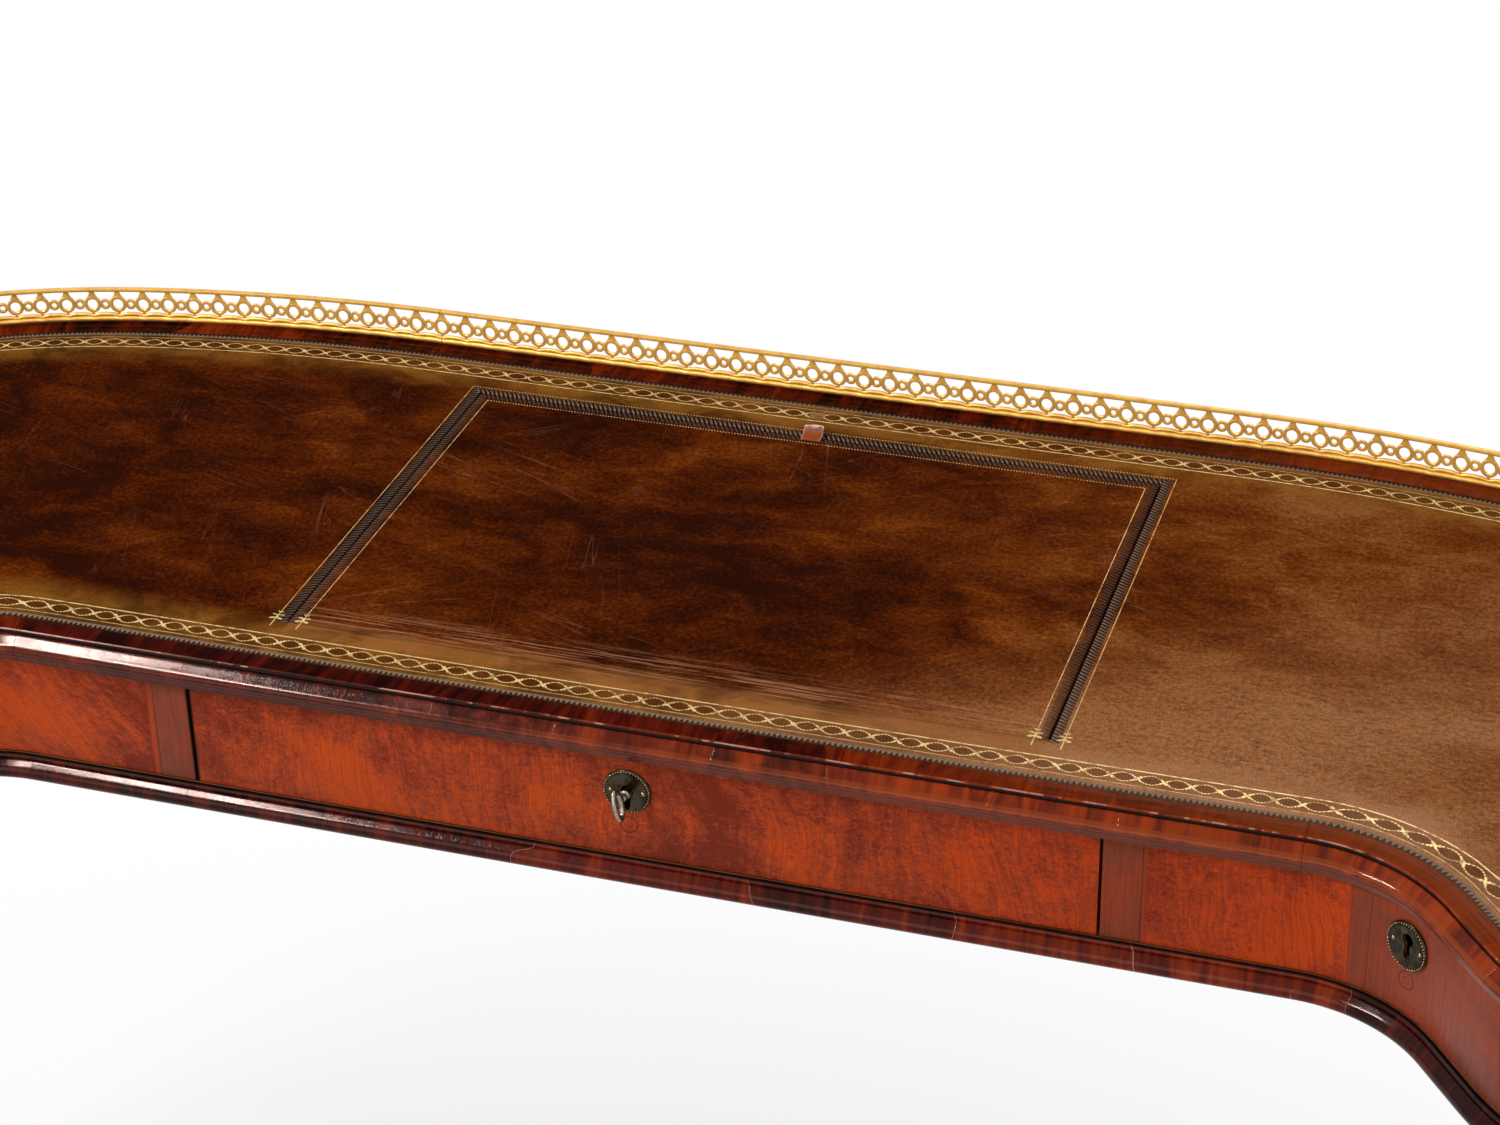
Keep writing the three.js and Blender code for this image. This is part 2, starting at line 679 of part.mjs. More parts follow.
const boxInnerX = centreDrawerHalf + partitionThickness / 2 + drawerSideGap;
const sideInset = friezeSetback + friezeThickness + seatGap;
const boxOuterX = lobeFrontX - drawerEndInset;
const sideEdge = stationsBetween(boxInnerX, startOf.lobeSide).map((s) => {
  const point = outlineAt(s);
  return new THREE.Vector2(point.x - point.nx * sideInset, point.y - point.ny * sideInset);
});
for (const [label, side] of sides) {
  const box = drawerBox(sideEdge, [boxInnerX, boxOuterX], sideDrawerBack, friezeBottomZ + sideDrawerSide);
  addPiece(`${label}_drawer_box`, onSide(side, box), drawerWood);
  const guideX = boxOuterX + drawerSideGap;
  const guideFrontY = sideInset + guideInset - tableDepth / 2;
  const guide = block([guideX, guideX + guideThickness], [guideFrontY, sideDrawerBack],
    [friezeBottomZ + seatGap, friezeBottomZ + seatGap + guideHeight]);
  addPiece(`${label}_drawer_guide`, onSide(side, guide), carcaseWood);
}

// Locks
for (const [label, side, standoff] of [['centre', 0, seatGap], ['left', -1, sidePlateStandoff],
  ['right', 1, sidePlateStandoff]]) {
  const frame = lockFrame(side);
  addPiece(`${label}_lock_case`, placed(lockCase(), frame), brass);
  addPiece(`${label}_lock_bolt`, placed(lockBolt(), frame), iron);
  addPiece(`${label}_keyhole_plate`, placed(keyholePlate(standoff), frame), bronze);
}
addPiece('key', placed(key(), lockFrame(0)), iron);

// Reading slope: board, leather, pull tab and two butt hinges let in under the leather
const slopeHalf = slopeOpeningHalf - slitWidth;
const slopeFrontY = hingeY + knuckleGap;
const slopeBackY = slopeRearY - slitWidth;
const pivotY = hingeY + strutPivotSetback;
const footY = pivotY + strutPivotSetback;
const lugX = strutHalfWidth + seatGap;

function bracketPlatePocket() {
  const x0 = lugX - seatGap;
  return block([x0, x0 + bracketPlateWidth + 2 * seatGap],
    [pivotY - bracketPlateLength / 2 - seatGap, pivotY + bracketPlateLength / 2 + seatGap],
    [slopeBottomZ - overrun, slopeBottomZ + bracketPlateThickness + seatGap]);
}

const slopeBlank = block([-slopeHalf, slopeHalf], [slopeFrontY, slopeBackY], [slopeBottomZ, boardTopZ]);
addPiece('slope_board', cut(slopeBlank, ...hingePlaces.map((x) => leafPocket(x, 1)),
  ...sides.map(([, side]) => onSide(side, bracketPlatePocket()))), mahogany);
addPiece('slope_leather', block([-slopeHalf, slopeHalf], [slopeFrontY, slopeBackY],
  [topZ - leatherThickness, topZ]), leather);

const tabHalf = tabWidth / 2;
const tabEndY = slopeRearY + tabOverhang;
const tabShape = new THREE.Shape()
  .moveTo(-tabHalf, tabEndY - tabLength)
  .lineTo(tabHalf, tabEndY - tabLength)
  .lineTo(tabHalf, tabEndY - tabHalf * tabRoundingShare)
  .quadraticCurveTo(tabHalf, tabEndY, 0, tabEndY)
  .quadraticCurveTo(-tabHalf, tabEndY, -tabHalf, tabEndY - tabHalf * tabRoundingShare);
const tabSheet = { depth: tabThickness, bevelEnabled: false, curveSegments: tabSteps };
const tab = new THREE.ExtrudeGeometry(tabShape, tabSheet).translate(0, 0, topZ + seatGap);
addPiece('pull_tab', tab, tabLeather);

const knuckleShares = [0, 1 / 3, 2 / 3, 1];

function hingeLeaf(x, toBack, knuckles) {
  const ends = knuckleShares.map((share) => x - hingeLeafWidth / 2 + share * hingeLeafWidth);
  const near = hingeY + toBack * knuckleRadius / 2;
  const far = hingeY + toBack * hingeLeafDepth;
  const levels = [boardTopZ - hingeLeafThickness, boardTopZ];
  const clear = hingeY + toBack * (knuckleRadius + 2 * seatGap);
  let leaf = block([ends[0], ends[3]], [Math.min(near, far), Math.max(near, far)], levels);
  for (const i of [0, 1, 2]) {
    const inner = [ends[i] + (i > 0 ? seatGap / 2 : 0), ends[i + 1] - (i < 2 ? seatGap / 2 : 0)];
    if (knuckles.includes(i)) {
      leaf = join(leaf, barX(knuckleRadius, ...inner, hingeY, hingeAxisZ));
    } else {
      const wide = [ends[i] - (i > 0 ? seatGap : overrun), ends[i + 1] + (i < 2 ? seatGap : overrun)];
      const edge = [hingeY - toBack * overrun, clear].sort((a, b) => a - b);
      leaf = cut(leaf, block(wide, edge, [levels[0] - overrun, levels[1] + overrun]));
    }
  }
  return leaf;
}

for (const [label, side] of sides) {
  const x = side * hingeSpacingHalf;
  const pinHalf = hingeLeafWidth / 3;
  const pin = barX(hingePinRadius, x - pinHalf, x + pinHalf, hingeY, hingeAxisZ);
  const bore = barX(hingePinRadius + seatGap, x - hingeLeafWidth, x + hingeLeafWidth, hingeY, hingeAxisZ);
  addPiece(`${label}_hinge_fixed_leaf`, join(hingeLeaf(x, -1, [0, 2]), pin), brass);
  addPiece(`${label}_hinge_slope_leaf`, cut(hingeLeaf(x, 1, [1]), bore), brass);
}

// Strut: a frame of two stiles, a rail and a round foot bar that drops into the racks
const halfStrut = strutThickness / 2;
const stileInner = strutHalfWidth - strutStileWidth;

function strutStile(side) {
  const rear = footY + strutFootWidth / 2;
  const bar = block([stileInner, strutHalfWidth], [pivotY, rear], [strutZ - halfStrut, strutZ + halfStrut]);
  const eye = barX(halfStrut, stileInner, strutHalfWidth, pivotY, strutZ);
  const boreRadius = strutPinRadius + seatGap;
  const bore = barX(boreRadius, stileInner - overrun, strutHalfWidth + overrun, pivotY, strutZ);
  return onSide(side, cut(join(bar, eye), bore));
}

const footHalf = strutFootWidth / 2;
const footBar = barX(halfStrut, -stileInner - seatGap, stileInner + seatGap, footY, strutZ);
const railY = pivotY + strutStileWidth;
const rail = block([-stileInner - seatGap, stileInner + seatGap], [railY, railY + strutRailWidth],
  [strutZ - halfStrut, strutZ + halfStrut]);
addPiece('strut_frame', join(strutStile(-1), strutStile(1), footBar, rail), mahogany);

for (const [label, side] of sides) {
  const plate = block([lugX, lugX + bracketPlateWidth],
    [pivotY - bracketPlateLength / 2, pivotY + bracketPlateLength / 2],
    [slopeBottomZ - seatGap, slopeBottomZ + bracketPlateThickness]);
  const lug = block([lugX, lugX + bracketThickness], [pivotY - halfStrut, pivotY + halfStrut],
    [strutZ - strutPinRadius, slopeBottomZ]);
  const eye = barX(halfStrut, lugX, lugX + bracketThickness, pivotY, strutZ);
  const pin = barX(strutPinRadius, stileInner + seatGap, lugX + bracketThickness / 2, pivotY, strutZ);
  addPiece(`${label}_strut_bracket`, onSide(side, join(plate, lug, eye, pin)), brass);
}

// Racks: saw teeth whose upright faces stop the foot from sliding back
const rackBottomZ = rackTopZ - rackHeight;
const rackFrontY = footY + footHalf - rackNotches * rackPitch;
const rackOutline = [[rackFrontY - rackToothTip, rackBottomZ]];
rackOutline.push([rackFrontY + rackNotches * rackPitch + rackToothTip, rackBottomZ]);
for (let i = rackNotches; i > 0; i -= 1) {
  const rearFaceY = rackFrontY + i * rackPitch;
  const tipEnd = i === rackNotches ? rearFaceY + rackToothTip : rearFaceY + rackToothTip / 2;
  rackOutline.push([tipEnd, rackTopZ], [rearFaceY, rackTopZ], [rearFaceY, rackTopZ - rackNotchDepth]);
}
rackOutline.push([rackFrontY, rackTopZ], [rackFrontY - rackToothTip, rackTopZ]);
for (const [label, side] of sides) {
  const rack = profileX(rackOutline, rackSpacingHalf - rackWidth / 2, rackSpacingHalf + rackWidth / 2);
  addPiece(`${label}_rack`, onSide(side, rack), brass);
}

// Well under the slope
const wellOuter = rectangle(-slopeOpeningHalf - wellWall, slopeOpeningHalf + wellWall,
  hingeY - knuckleGap - wellWall, slopeRearY + wellWall);
const wellInner = rectangle(-slopeOpeningHalf, slopeOpeningHalf, hingeY - knuckleGap, slopeRearY);
const wellFrame = prism(wellOuter, wellFloorZ + seatGap, boardBottomZ - seatGap, [wellInner]);
addPiece('well_frame', wellFrame, carcaseWood);
addPiece('well_floor', prism(wellOuter, wellFloorZ - wellFloorThickness, wellFloorZ), carcaseWood);

// One bay of the gallery, from the middle of one ring to the middle of the next, as [along, up]:
// half of a ring's hole at each end, and an opening above and below the link that joins the rings
function galleryBay(pitch) {
  const middle = galleryRingHeight;
  const wide = galleryHoleRadius * Math.cos(Math.PI / 6);
  const tall = galleryHoleRadius / 2;
  const contour = [
    [0, 0], [pitch, 0], [pitch, middle - galleryHoleRadius], [pitch - wide, middle - tall],
    [pitch - wide, middle + tall], [pitch, middle + galleryHoleRadius], [pitch, galleryHeight],
    [0, galleryHeight], [0, middle + galleryHoleRadius], [wide, middle + tall], [wide, middle - tall],
    [0, middle - galleryHoleRadius],
  ];
  const stem = galleryStemWidth / 2;
  const link = galleryLinkHeight / 2;
  const upper = [
    [stem, galleryHeight - galleryRailHeight], [pitch - stem, galleryHeight - galleryRailHeight],
    [pitch / 2, middle + link],
  ];
  const lower = [[pitch / 2, middle - link], [pitch - stem, galleryFootHeight], [stem, galleryFootHeight]];
  return [contour, upper, lower];
}

// Edges of the bay's contour that meet the bay before it and the bay after it
const bayStartEdges = [7, 11];
const bayEndEdges = [1, 5];

// Pierced band bent along the outline from s0 to s1, one bay at a time
function gallery(s0, s1) {
  const count = Math.max(1, Math.round((s1 - s0) / galleryPitch));
  const pitch = (s1 - s0) / count;
  const loops = galleryBay(pitch);
  const flat = loops.map((loop) => loop.map(([u, up]) => new THREE.Vector2(u, up)));
  const faces = THREE.ShapeUtils.triangulateShape(flat[0], flat.slice(1));
  const size = loops.flat().length;
  const corners = [];
  const triangles = [];
  for (let bay = 0; bay < count; bay += 1) {
    const front = corners.length;
    const back = front + size;
    for (const depth of [0, galleryThickness]) {
      for (const [u, up] of loops.flat()) {
        const point = outlineAt(s0 + bay * pitch + u);
        const out = -gallerySetback - depth;
        corners.push([point.x + point.nx * out, point.y + point.ny * out, topZ + seatGap + up]);
      }
    }
    for (const [a, b, c] of faces) {
      triangles.push(front + a, front + b, front + c, back + b, back + a, back + c);
    }
    let first = 0;
    for (const loop of loops) {
      for (let i = 0; i < loop.length; i += 1) {
        const joinedBefore = bay > 0 && bayStartEdges.includes(i);
        const joinedAfter = bay < count - 1 && bayEndEdges.includes(i);
        const a = first + i;
        const b = first + (i + 1) % loop.length;
        if (first > 0 || !(joinedBefore || joinedAfter)) {
          triangles.push(front + a, back + a, back + b, front + a, back + b, front + b);
        }
      }
      first += loop.length;
    }
  }
  const geometry = new THREE.BufferGeometry();
  geometry.setAttribute('position', new THREE.Float32BufferAttribute(corners.flat(), 3));
  geometry.setIndex(triangles);
  return facingOut(mergeVertices(geometry));
}

const galleryBack = gallery(startOf.back + seatGap, outlineLength);
addPiece('gallery_back', join(galleryBack, onSide(-1, galleryBack)), brass);
for (const [label, side] of sides) {
  addPiece(`gallery_${label}`, onSide(side, gallery(startOf.corner, startOf.back - seatGap)), brass);
}

// Turned legs: [share of the top radius, share of the height from the floor]
const legHeight = bottomBoardZ - seatGap;
const legProfileShares = [
  [0, 0], [0.42, 0], [0.62, 0.03], [0.44, 0.07], [0.58, 0.085], [0.46, 0.105], [0.84, 0.77], [0.7, 0.785],
  [0.98, 0.81], [0.7, 0.836], [0.66, 0.87], [1, 0.93], [1, 0.955], [0.86, 0.975], [1, 0.99], [1, 1], [0, 1],
];
const legProfile = legProfileShares.map(([r, h]) => new THREE.Vector2(r * legTopRadius, h * legHeight));
const legPlaces = [
  ['front', startOf.lobeSide + lobeRadius * frontLegTurn, frontLegInset],
  ['rear', startOf.corner + cornerRadius * rearLegTurn, rearLegInset],
];
for (const [label, side] of sides) {
  for (const [row, s, inset] of legPlaces) {
    const point = outlineAt(s);
    const leg = addPiece(`${row}_${label}_leg`,
      new THREE.LatheGeometry(legProfile, legSides).rotateX(Math.PI / 2), mahogany);
    leg.position.set(side * (point.x - point.nx * inset), point.y - point.ny * inset, 0);
  }
}

export default table;
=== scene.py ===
"""Reading table: fine surfaces, finishes, floor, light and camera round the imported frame.

Lengths are metres. The frame's origin is on the floor under the middle of the table,
+X to the sitter's right, +Y away from the sitter, +Z up.
"""
import json
import math

import bmesh
import bpy
import numpy as np
from bpy.props import FloatProperty, FloatVectorProperty, IntProperty, PointerProperty
from mathutils import Euler, Matrix, Vector


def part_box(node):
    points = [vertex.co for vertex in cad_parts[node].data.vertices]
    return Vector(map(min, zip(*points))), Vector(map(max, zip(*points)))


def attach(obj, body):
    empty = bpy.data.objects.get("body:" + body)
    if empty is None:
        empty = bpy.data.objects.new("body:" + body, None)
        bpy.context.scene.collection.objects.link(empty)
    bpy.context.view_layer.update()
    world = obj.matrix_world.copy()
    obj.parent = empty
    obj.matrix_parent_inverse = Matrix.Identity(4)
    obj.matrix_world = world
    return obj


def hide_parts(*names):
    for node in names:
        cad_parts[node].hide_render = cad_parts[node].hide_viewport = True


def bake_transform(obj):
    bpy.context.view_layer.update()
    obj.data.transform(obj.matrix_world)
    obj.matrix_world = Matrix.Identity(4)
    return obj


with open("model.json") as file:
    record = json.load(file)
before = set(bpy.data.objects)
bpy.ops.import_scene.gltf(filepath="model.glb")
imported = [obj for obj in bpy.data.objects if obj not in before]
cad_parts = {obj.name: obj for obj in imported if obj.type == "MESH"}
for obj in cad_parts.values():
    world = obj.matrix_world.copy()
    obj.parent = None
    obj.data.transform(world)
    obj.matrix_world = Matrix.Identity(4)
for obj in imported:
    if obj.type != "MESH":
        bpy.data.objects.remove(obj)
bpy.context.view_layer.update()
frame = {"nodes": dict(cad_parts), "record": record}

bl_info = {
    "name": "Reading table",
    "version": (1, 0, 0),
    "blender": (4, 5, 0),
    "location": "3D View > Sidebar > Table",
    "description": "Builds the visible surfaces of a kidney-shaped reading table",
    "category": "Add Mesh",
}

degree = math.pi / 180
mm = 0.001
sides = (("left", -1), ("right", 1))
overrun = 5 * mm

# tooling of the leather: insets from its edge or from the slit, pitches, reach and half width of a strand
strand_pitch, strand_inset, strand_reach, strand_half = 31.8 * mm, 16.4 * mm, 4.5 * mm, 0.34 * mm
inner_rule, outer_rule, slit_rule = 24.7 * mm, 9.3 * mm, 8.85 * mm
tooth_pitch, soft_edge = 3.4 * mm, 0.3 * mm


def hex_colour(code):
    """Linear colour of a screen colour that is written as six hex digits."""
    parts = [int(code[i:i + 2], 16) / 255 for i in (0, 2, 4)]
    return tuple(c / 12.92 if c <= 0.04045 else ((c + 0.055) / 1.055) ** 2.4 for c in parts)


def length(name, default, description):
    return FloatProperty(name=name, description=description, default=default, min=0, precision=4,
                         unit="LENGTH", subtype="DISTANCE")


def angle(name, degrees, description):
    return FloatProperty(name=name, description=description, default=degrees * degree, subtype="ANGLE")


def share(name, default, description):
    return FloatProperty(name=name, description=description, default=default, subtype="FACTOR")


def power(name, default, description):
    return FloatProperty(name=name, description=description, default=default, min=0, subtype="POWER")


def count(name, default, description):
    return IntProperty(name=name, description=description, default=default, min=3)


def colour(name, code, description):
    return FloatVectorProperty(name=name, description=description, default=hex_colour(code), size=3,
                               min=0, max=1, subtype="COLOR")


class TableSizes(bpy.types.PropertyGroup):
    """Plan, levels and thicknesses of the table"""
    height: length("Height", 0.740, "Floor to the leather")
    half_width: length("Half width", 0.780, "Middle to the widest point of the outline")
    body_depth: length("Body depth", 0.4545, "Straight front to straight back")
    straight_half: length("Half front", 0.404, "Half of the straight front")
    cove_radius: length("Cove radius", 0.105, "Hollow curve between the front and the lobe")
    cove_turn: angle("Cove turn", 53, "Turn of the hollow curve")
    cove_run: length("Cove run", 0.045, "Straight run between the hollow curve and the lobe")
    back_half: length("Half back", 0.300, "Half of the straight back")
    back_turn: angle("Back turn", 12.4, "Turn of the first curve of the back")
    shoulder_turn: angle("Shoulder turn", 11.6, "Turn of the second curve of the back")
    side_turn: angle("Side turn", 12, "Turn of the side behind the lobe")
    back_share: share("Back radius", 2.183, "Share of the reach from the straight back to the side")
    shoulder_share: share("Shoulder radius", 0.975, "Share of the same reach")
    front_band: length("Front band", 0.014, "Width of the crossbanding along the front")
    rear_band: length("Rear band", 0.024, "Width of the crossbanding under the gallery")
    edge_height: length("Edge height", 0.0215, "Height of the moulded edge of the top")
    edge_out: length("Edge projection", 0.0082, "Projection of the moulded edge")
    frieze_height: length("Frieze height", 0.072, "Height of the frieze")
    frieze_depth: length("Frieze thickness", 0.020, "Thickness of the frieze and the drawer fronts")
    lower_height: length("Lower moulding", 0.0172, "Height of the lower moulding")
    lower_out: length("Lower projection", 0.0086, "Projection of the lower moulding")
    leather_depth: length("Leather", 0.0012, "Thickness of the leather")
    opening_half: length("Half opening", 0.245, "Half width of the slope's opening")
    opening_depth: length("Opening depth", 0.324, "Hinge line to the rear of the slope's opening")
    hinge_setback: length("Hinge setback", 0.0585, "Front of the table to the hinge line")
    slit: length("Slit", 0.002, "Width of the slit round the slope")
    knuckle_gap: length("Hinge gap", 0.0017, "Hinge line to each board")
    drawer_half: length("Half drawer", 0.289, "Middle to the gap beside the centre drawer")
    drawer_gap: length("Drawer gap", 0.002, "Gap between two drawer fronts")
    keyhole_drop: length("Keyhole drop", 0.024, "Top of the frieze to the keyholes")
    side_lock_turn: angle("Side lock turn", 38, "Turn of the hollow curve at which a side lock sits")
    seat_gap: length("Seat gap", 0.0003, "Gap between two pieces that touch")
    frieze_setback: length("Frieze setback", 0.0005, "Straight edge of the plan to the frieze's face")
    front_gap: length("Drawer front gap", 0.0008, "Gap above and below a drawer front")


class FittingSizes(bpy.types.PropertyGroup):
    """Gallery, keyhole plates and key"""
    gallery_height: length("Gallery height", 0.0268, "Height of the gallery")
    gallery_pitch: length("Gallery pitch", 0.019, "Distance between two large rings")
    gallery_setback: length("Gallery setback", 0.005, "Edge of the top to the outer face of the gallery")
    gallery_depth: length("Gallery depth", 0.003, "Depth of the band that holds the gallery")
    ring_height: length("Ring height", 0.0136, "Middle of the rings above the top")
    ring_radius: length("Ring radius", 0.0051, "Middle line of a large ring")
    ring_width: length("Ring width", 0.0026, "Width of a large ring")
    bead_radius: length("Small ring radius", 0.0030, "Middle line of a small ring")
    bead_width: length("Small ring width", 0.0022, "Width of a small ring")
    sheet_depth: length("Pierced sheet", 0.0024, "Thickness of the rings")
    rail_height: length("Rail height", 0.003, "Height of the top rail")
    rail_half: length("Half rail", 0.0021, "Half depth of the top rail")
    foot_height: length("Foot height", 0.0070, "Height of the lower rail")
    plate_radius: length("Plate radius", 0.01525, "Radius of a keyhole plate")
    plate_rim: length("Plate rim", 0.0022, "Height of the plate's rim")
    plate_dish: length("Plate dish", 0.0009, "Height of the plate's dished middle")
    plate_beads: count("Plate beads", 46, "Beads round the rim of a keyhole plate")
    keyhole_head: length("Keyhole head", 0.0040, "Radius of the keyhole's round head")
    keyhole_half: length("Keyhole half", 0.0020, "Half width of the keyhole's foot")
    keyhole_reach: length("Keyhole reach", 0.0125, "Middle of the keyhole's head to the end of its foot")
    side_rise: length("Side keyhole rise", 0.004, "Middle of a side plate to its keyhole's head")
    key_reach: length("Key reach", 0.009, "Frieze to the bow of the key")
    key_bow: length("Key bow", 0.022, "Height of the key's bow")
    key_lean: angle("Key lean", 12, "Turn of the key away from upright")


class LeatherFinish(bpy.types.PropertyGroup):
    """Colours of the aged hide and of its tooling"""
    dark: colour("Dark", "240801", "Darkest clouds of the hide")
    deep: colour("Deep", "3e1301", "Deep brown of the hide")
    chestnut: colour("Chestnut", "562203", "Chestnut of the hide")
    amber: colour("Amber", "733609", "Amber streaks of the hide")
    # Tan and grey also paint the sheen on the right-hand front of the hide, together with its fading
    # there.
    tan: colour("Tan", "925a2c", "Worn and faded places")
    olive: colour("Olive", "8d5d22", "Golden olive beside the border")
    grey: colour("Grey", "b07a56", "Faded grey-brown of the right-hand end")
    gilt: colour("Gilt", "e2c488", "Gold leaf of the tooling")
    tooth_dark: colour("Tooth dark", "1c120b", "Blind-tooled hollows")
    # Painted highlight on the raised ridges of the blind tooling.
    tooth_light: colour("Tooth light", "8c7a6a", "Blind-tooled ridges")
    tab: colour("Tab", "8a4210", "Pull tab")
    tab_upper: colour("Tab upper side", "81574d", "Reddish upper side of the pull tab")
    tab_worn: colour("Tab worn", "d9b9a6", "Worn edges of the pull tab")


class WoodFinish(bpy.types.PropertyGroup):
    """Colours of the polished and the plain woods"""
    veneer_dark: colour("Veneer dark", "611f0e", "Dark streaks of the veneer")
    # The purplish cast of this brown is painted sheen on the straight-grained strips.
    veneer_brown: colour("Veneer brown", "663628", "Purplish brown of the straight-grained strips")
    veneer: colour("Veneer", "863219", "Middle tone of the veneer")
    veneer_flame: colour("Veneer flame", "a53c0e", "Orange flame of the veneer")
    # Painted: makes the veneer redder towards the right, in place of the sheen that greys the left.
    veneer_red: colour("Veneer red", "ffcea0", "Multiplies the veneer towards the right")
    veneer_glint: colour("Veneer glint", "ffbcaa", "Tint of the veneer's reflections")
    band_glint: colour("Band glint", "ffdfd4", "Tint of the mouldings' reflections")
    band_dark: colour("Band dark", "1c0100", "Dark red of the crossbanding")
    band: colour("Band", "4a0d02", "Middle tone of the crossbanding")
    band_light: colour("Band light", "8c3004", "Orange streaks of the crossbanding")
    fillet: colour("Fillet", "7c3614", "Ochre strip on the nose of the thumb moulding")
    # The purple of the cavetto is a painted reflection of the pale floor.
    cavetto: colour("Cavetto", "602c1e", "Purplish cavetto above the frieze")
    # This pale colour also paints the highlight along the arris on the left, besides worn polish and pale
    # glue.
    wear: colour("Wear", "c8968a", "Polish worn off the arrises")
    # This near black also paints shade: the quirk under the arris, the line under the frieze and the band
    # at the left drawer gap.
    wax: colour("Wax", "080302", "Old wax and dirt in the quirks")
    carcase: colour("Carcase", "7a4a2c", "Plain timber of the carcase")
    carcase_dark: colour("Carcase dark", "4b2a17", "Dark grain of the carcase")
    lining: colour("Lining", "936138", "Timber of the drawer boxes")
    lining_dark: colour("Lining dark", "5f3a20", "Dark grain of the drawer boxes")


class MetalFinish(bpy.types.PropertyGroup):
    """Colours of the metal fittings"""
    brass: colour("Brass", "e9b553", "Bright lacquered brass")
    brass_dark: colour("Brass tarnish", "b87828", "Tarnish in the hollows of the brass")
    bronze: colour("Bronze", "443a2f", "Darkened plates")
    bronze_dark: colour("Bronze dark", "211c18", "Dark patches of the plates")
    rubbed: colour("Rubbed bronze", "8c7850", "Beads that are rubbed bright")
    steel: colour("Steel", "a69d8c", "Polished steel of the key")
    iron: colour("Iron", "6a6258", "Forged steel of the bolts")
    iron_dark: colour("Iron dark", "3a322a", "Dark patches of the steel")
    # Painted shadow: the near black that lines the keyholes.
    hollow: colour("Hollow", "030303", "Inside of the keyholes")


class StudioSettings(bpy.types.PropertyGroup):
    """Camera, floor and lights"""
    camera_place: FloatVectorProperty(name="Camera", description="Place of the camera", size=3,
                                      default=(0.5911031, -1.7005485, 1.8043999), subtype="TRANSLATION")
    camera_turn: FloatVectorProperty(name="Camera turn", description="Turn of the camera", size=3,
                                     default=(59.96098 * degree, 1.00693 * degree, 17.74575 * degree),
                                     subtype="EULER")
    lens: FloatProperty(name="Lens", description="Focal length in millimetres", default=79.437)
    floor: colour("Floor", "f2f0ee", "Pale floor")
    ambient: FloatProperty(name="Ambient", description="Light from all round", default=0.28)
    left_power: power("Left light", 64, "Power of the left softbox in watts")
    rear_power: power("Rear light", 18, "Power of the rear softbox in watts")
    front_power: power("Front light", 46, "Power of the front softbox in watts")


def outline_property():
    return Outline(bpy.context.scene.table_sizes)


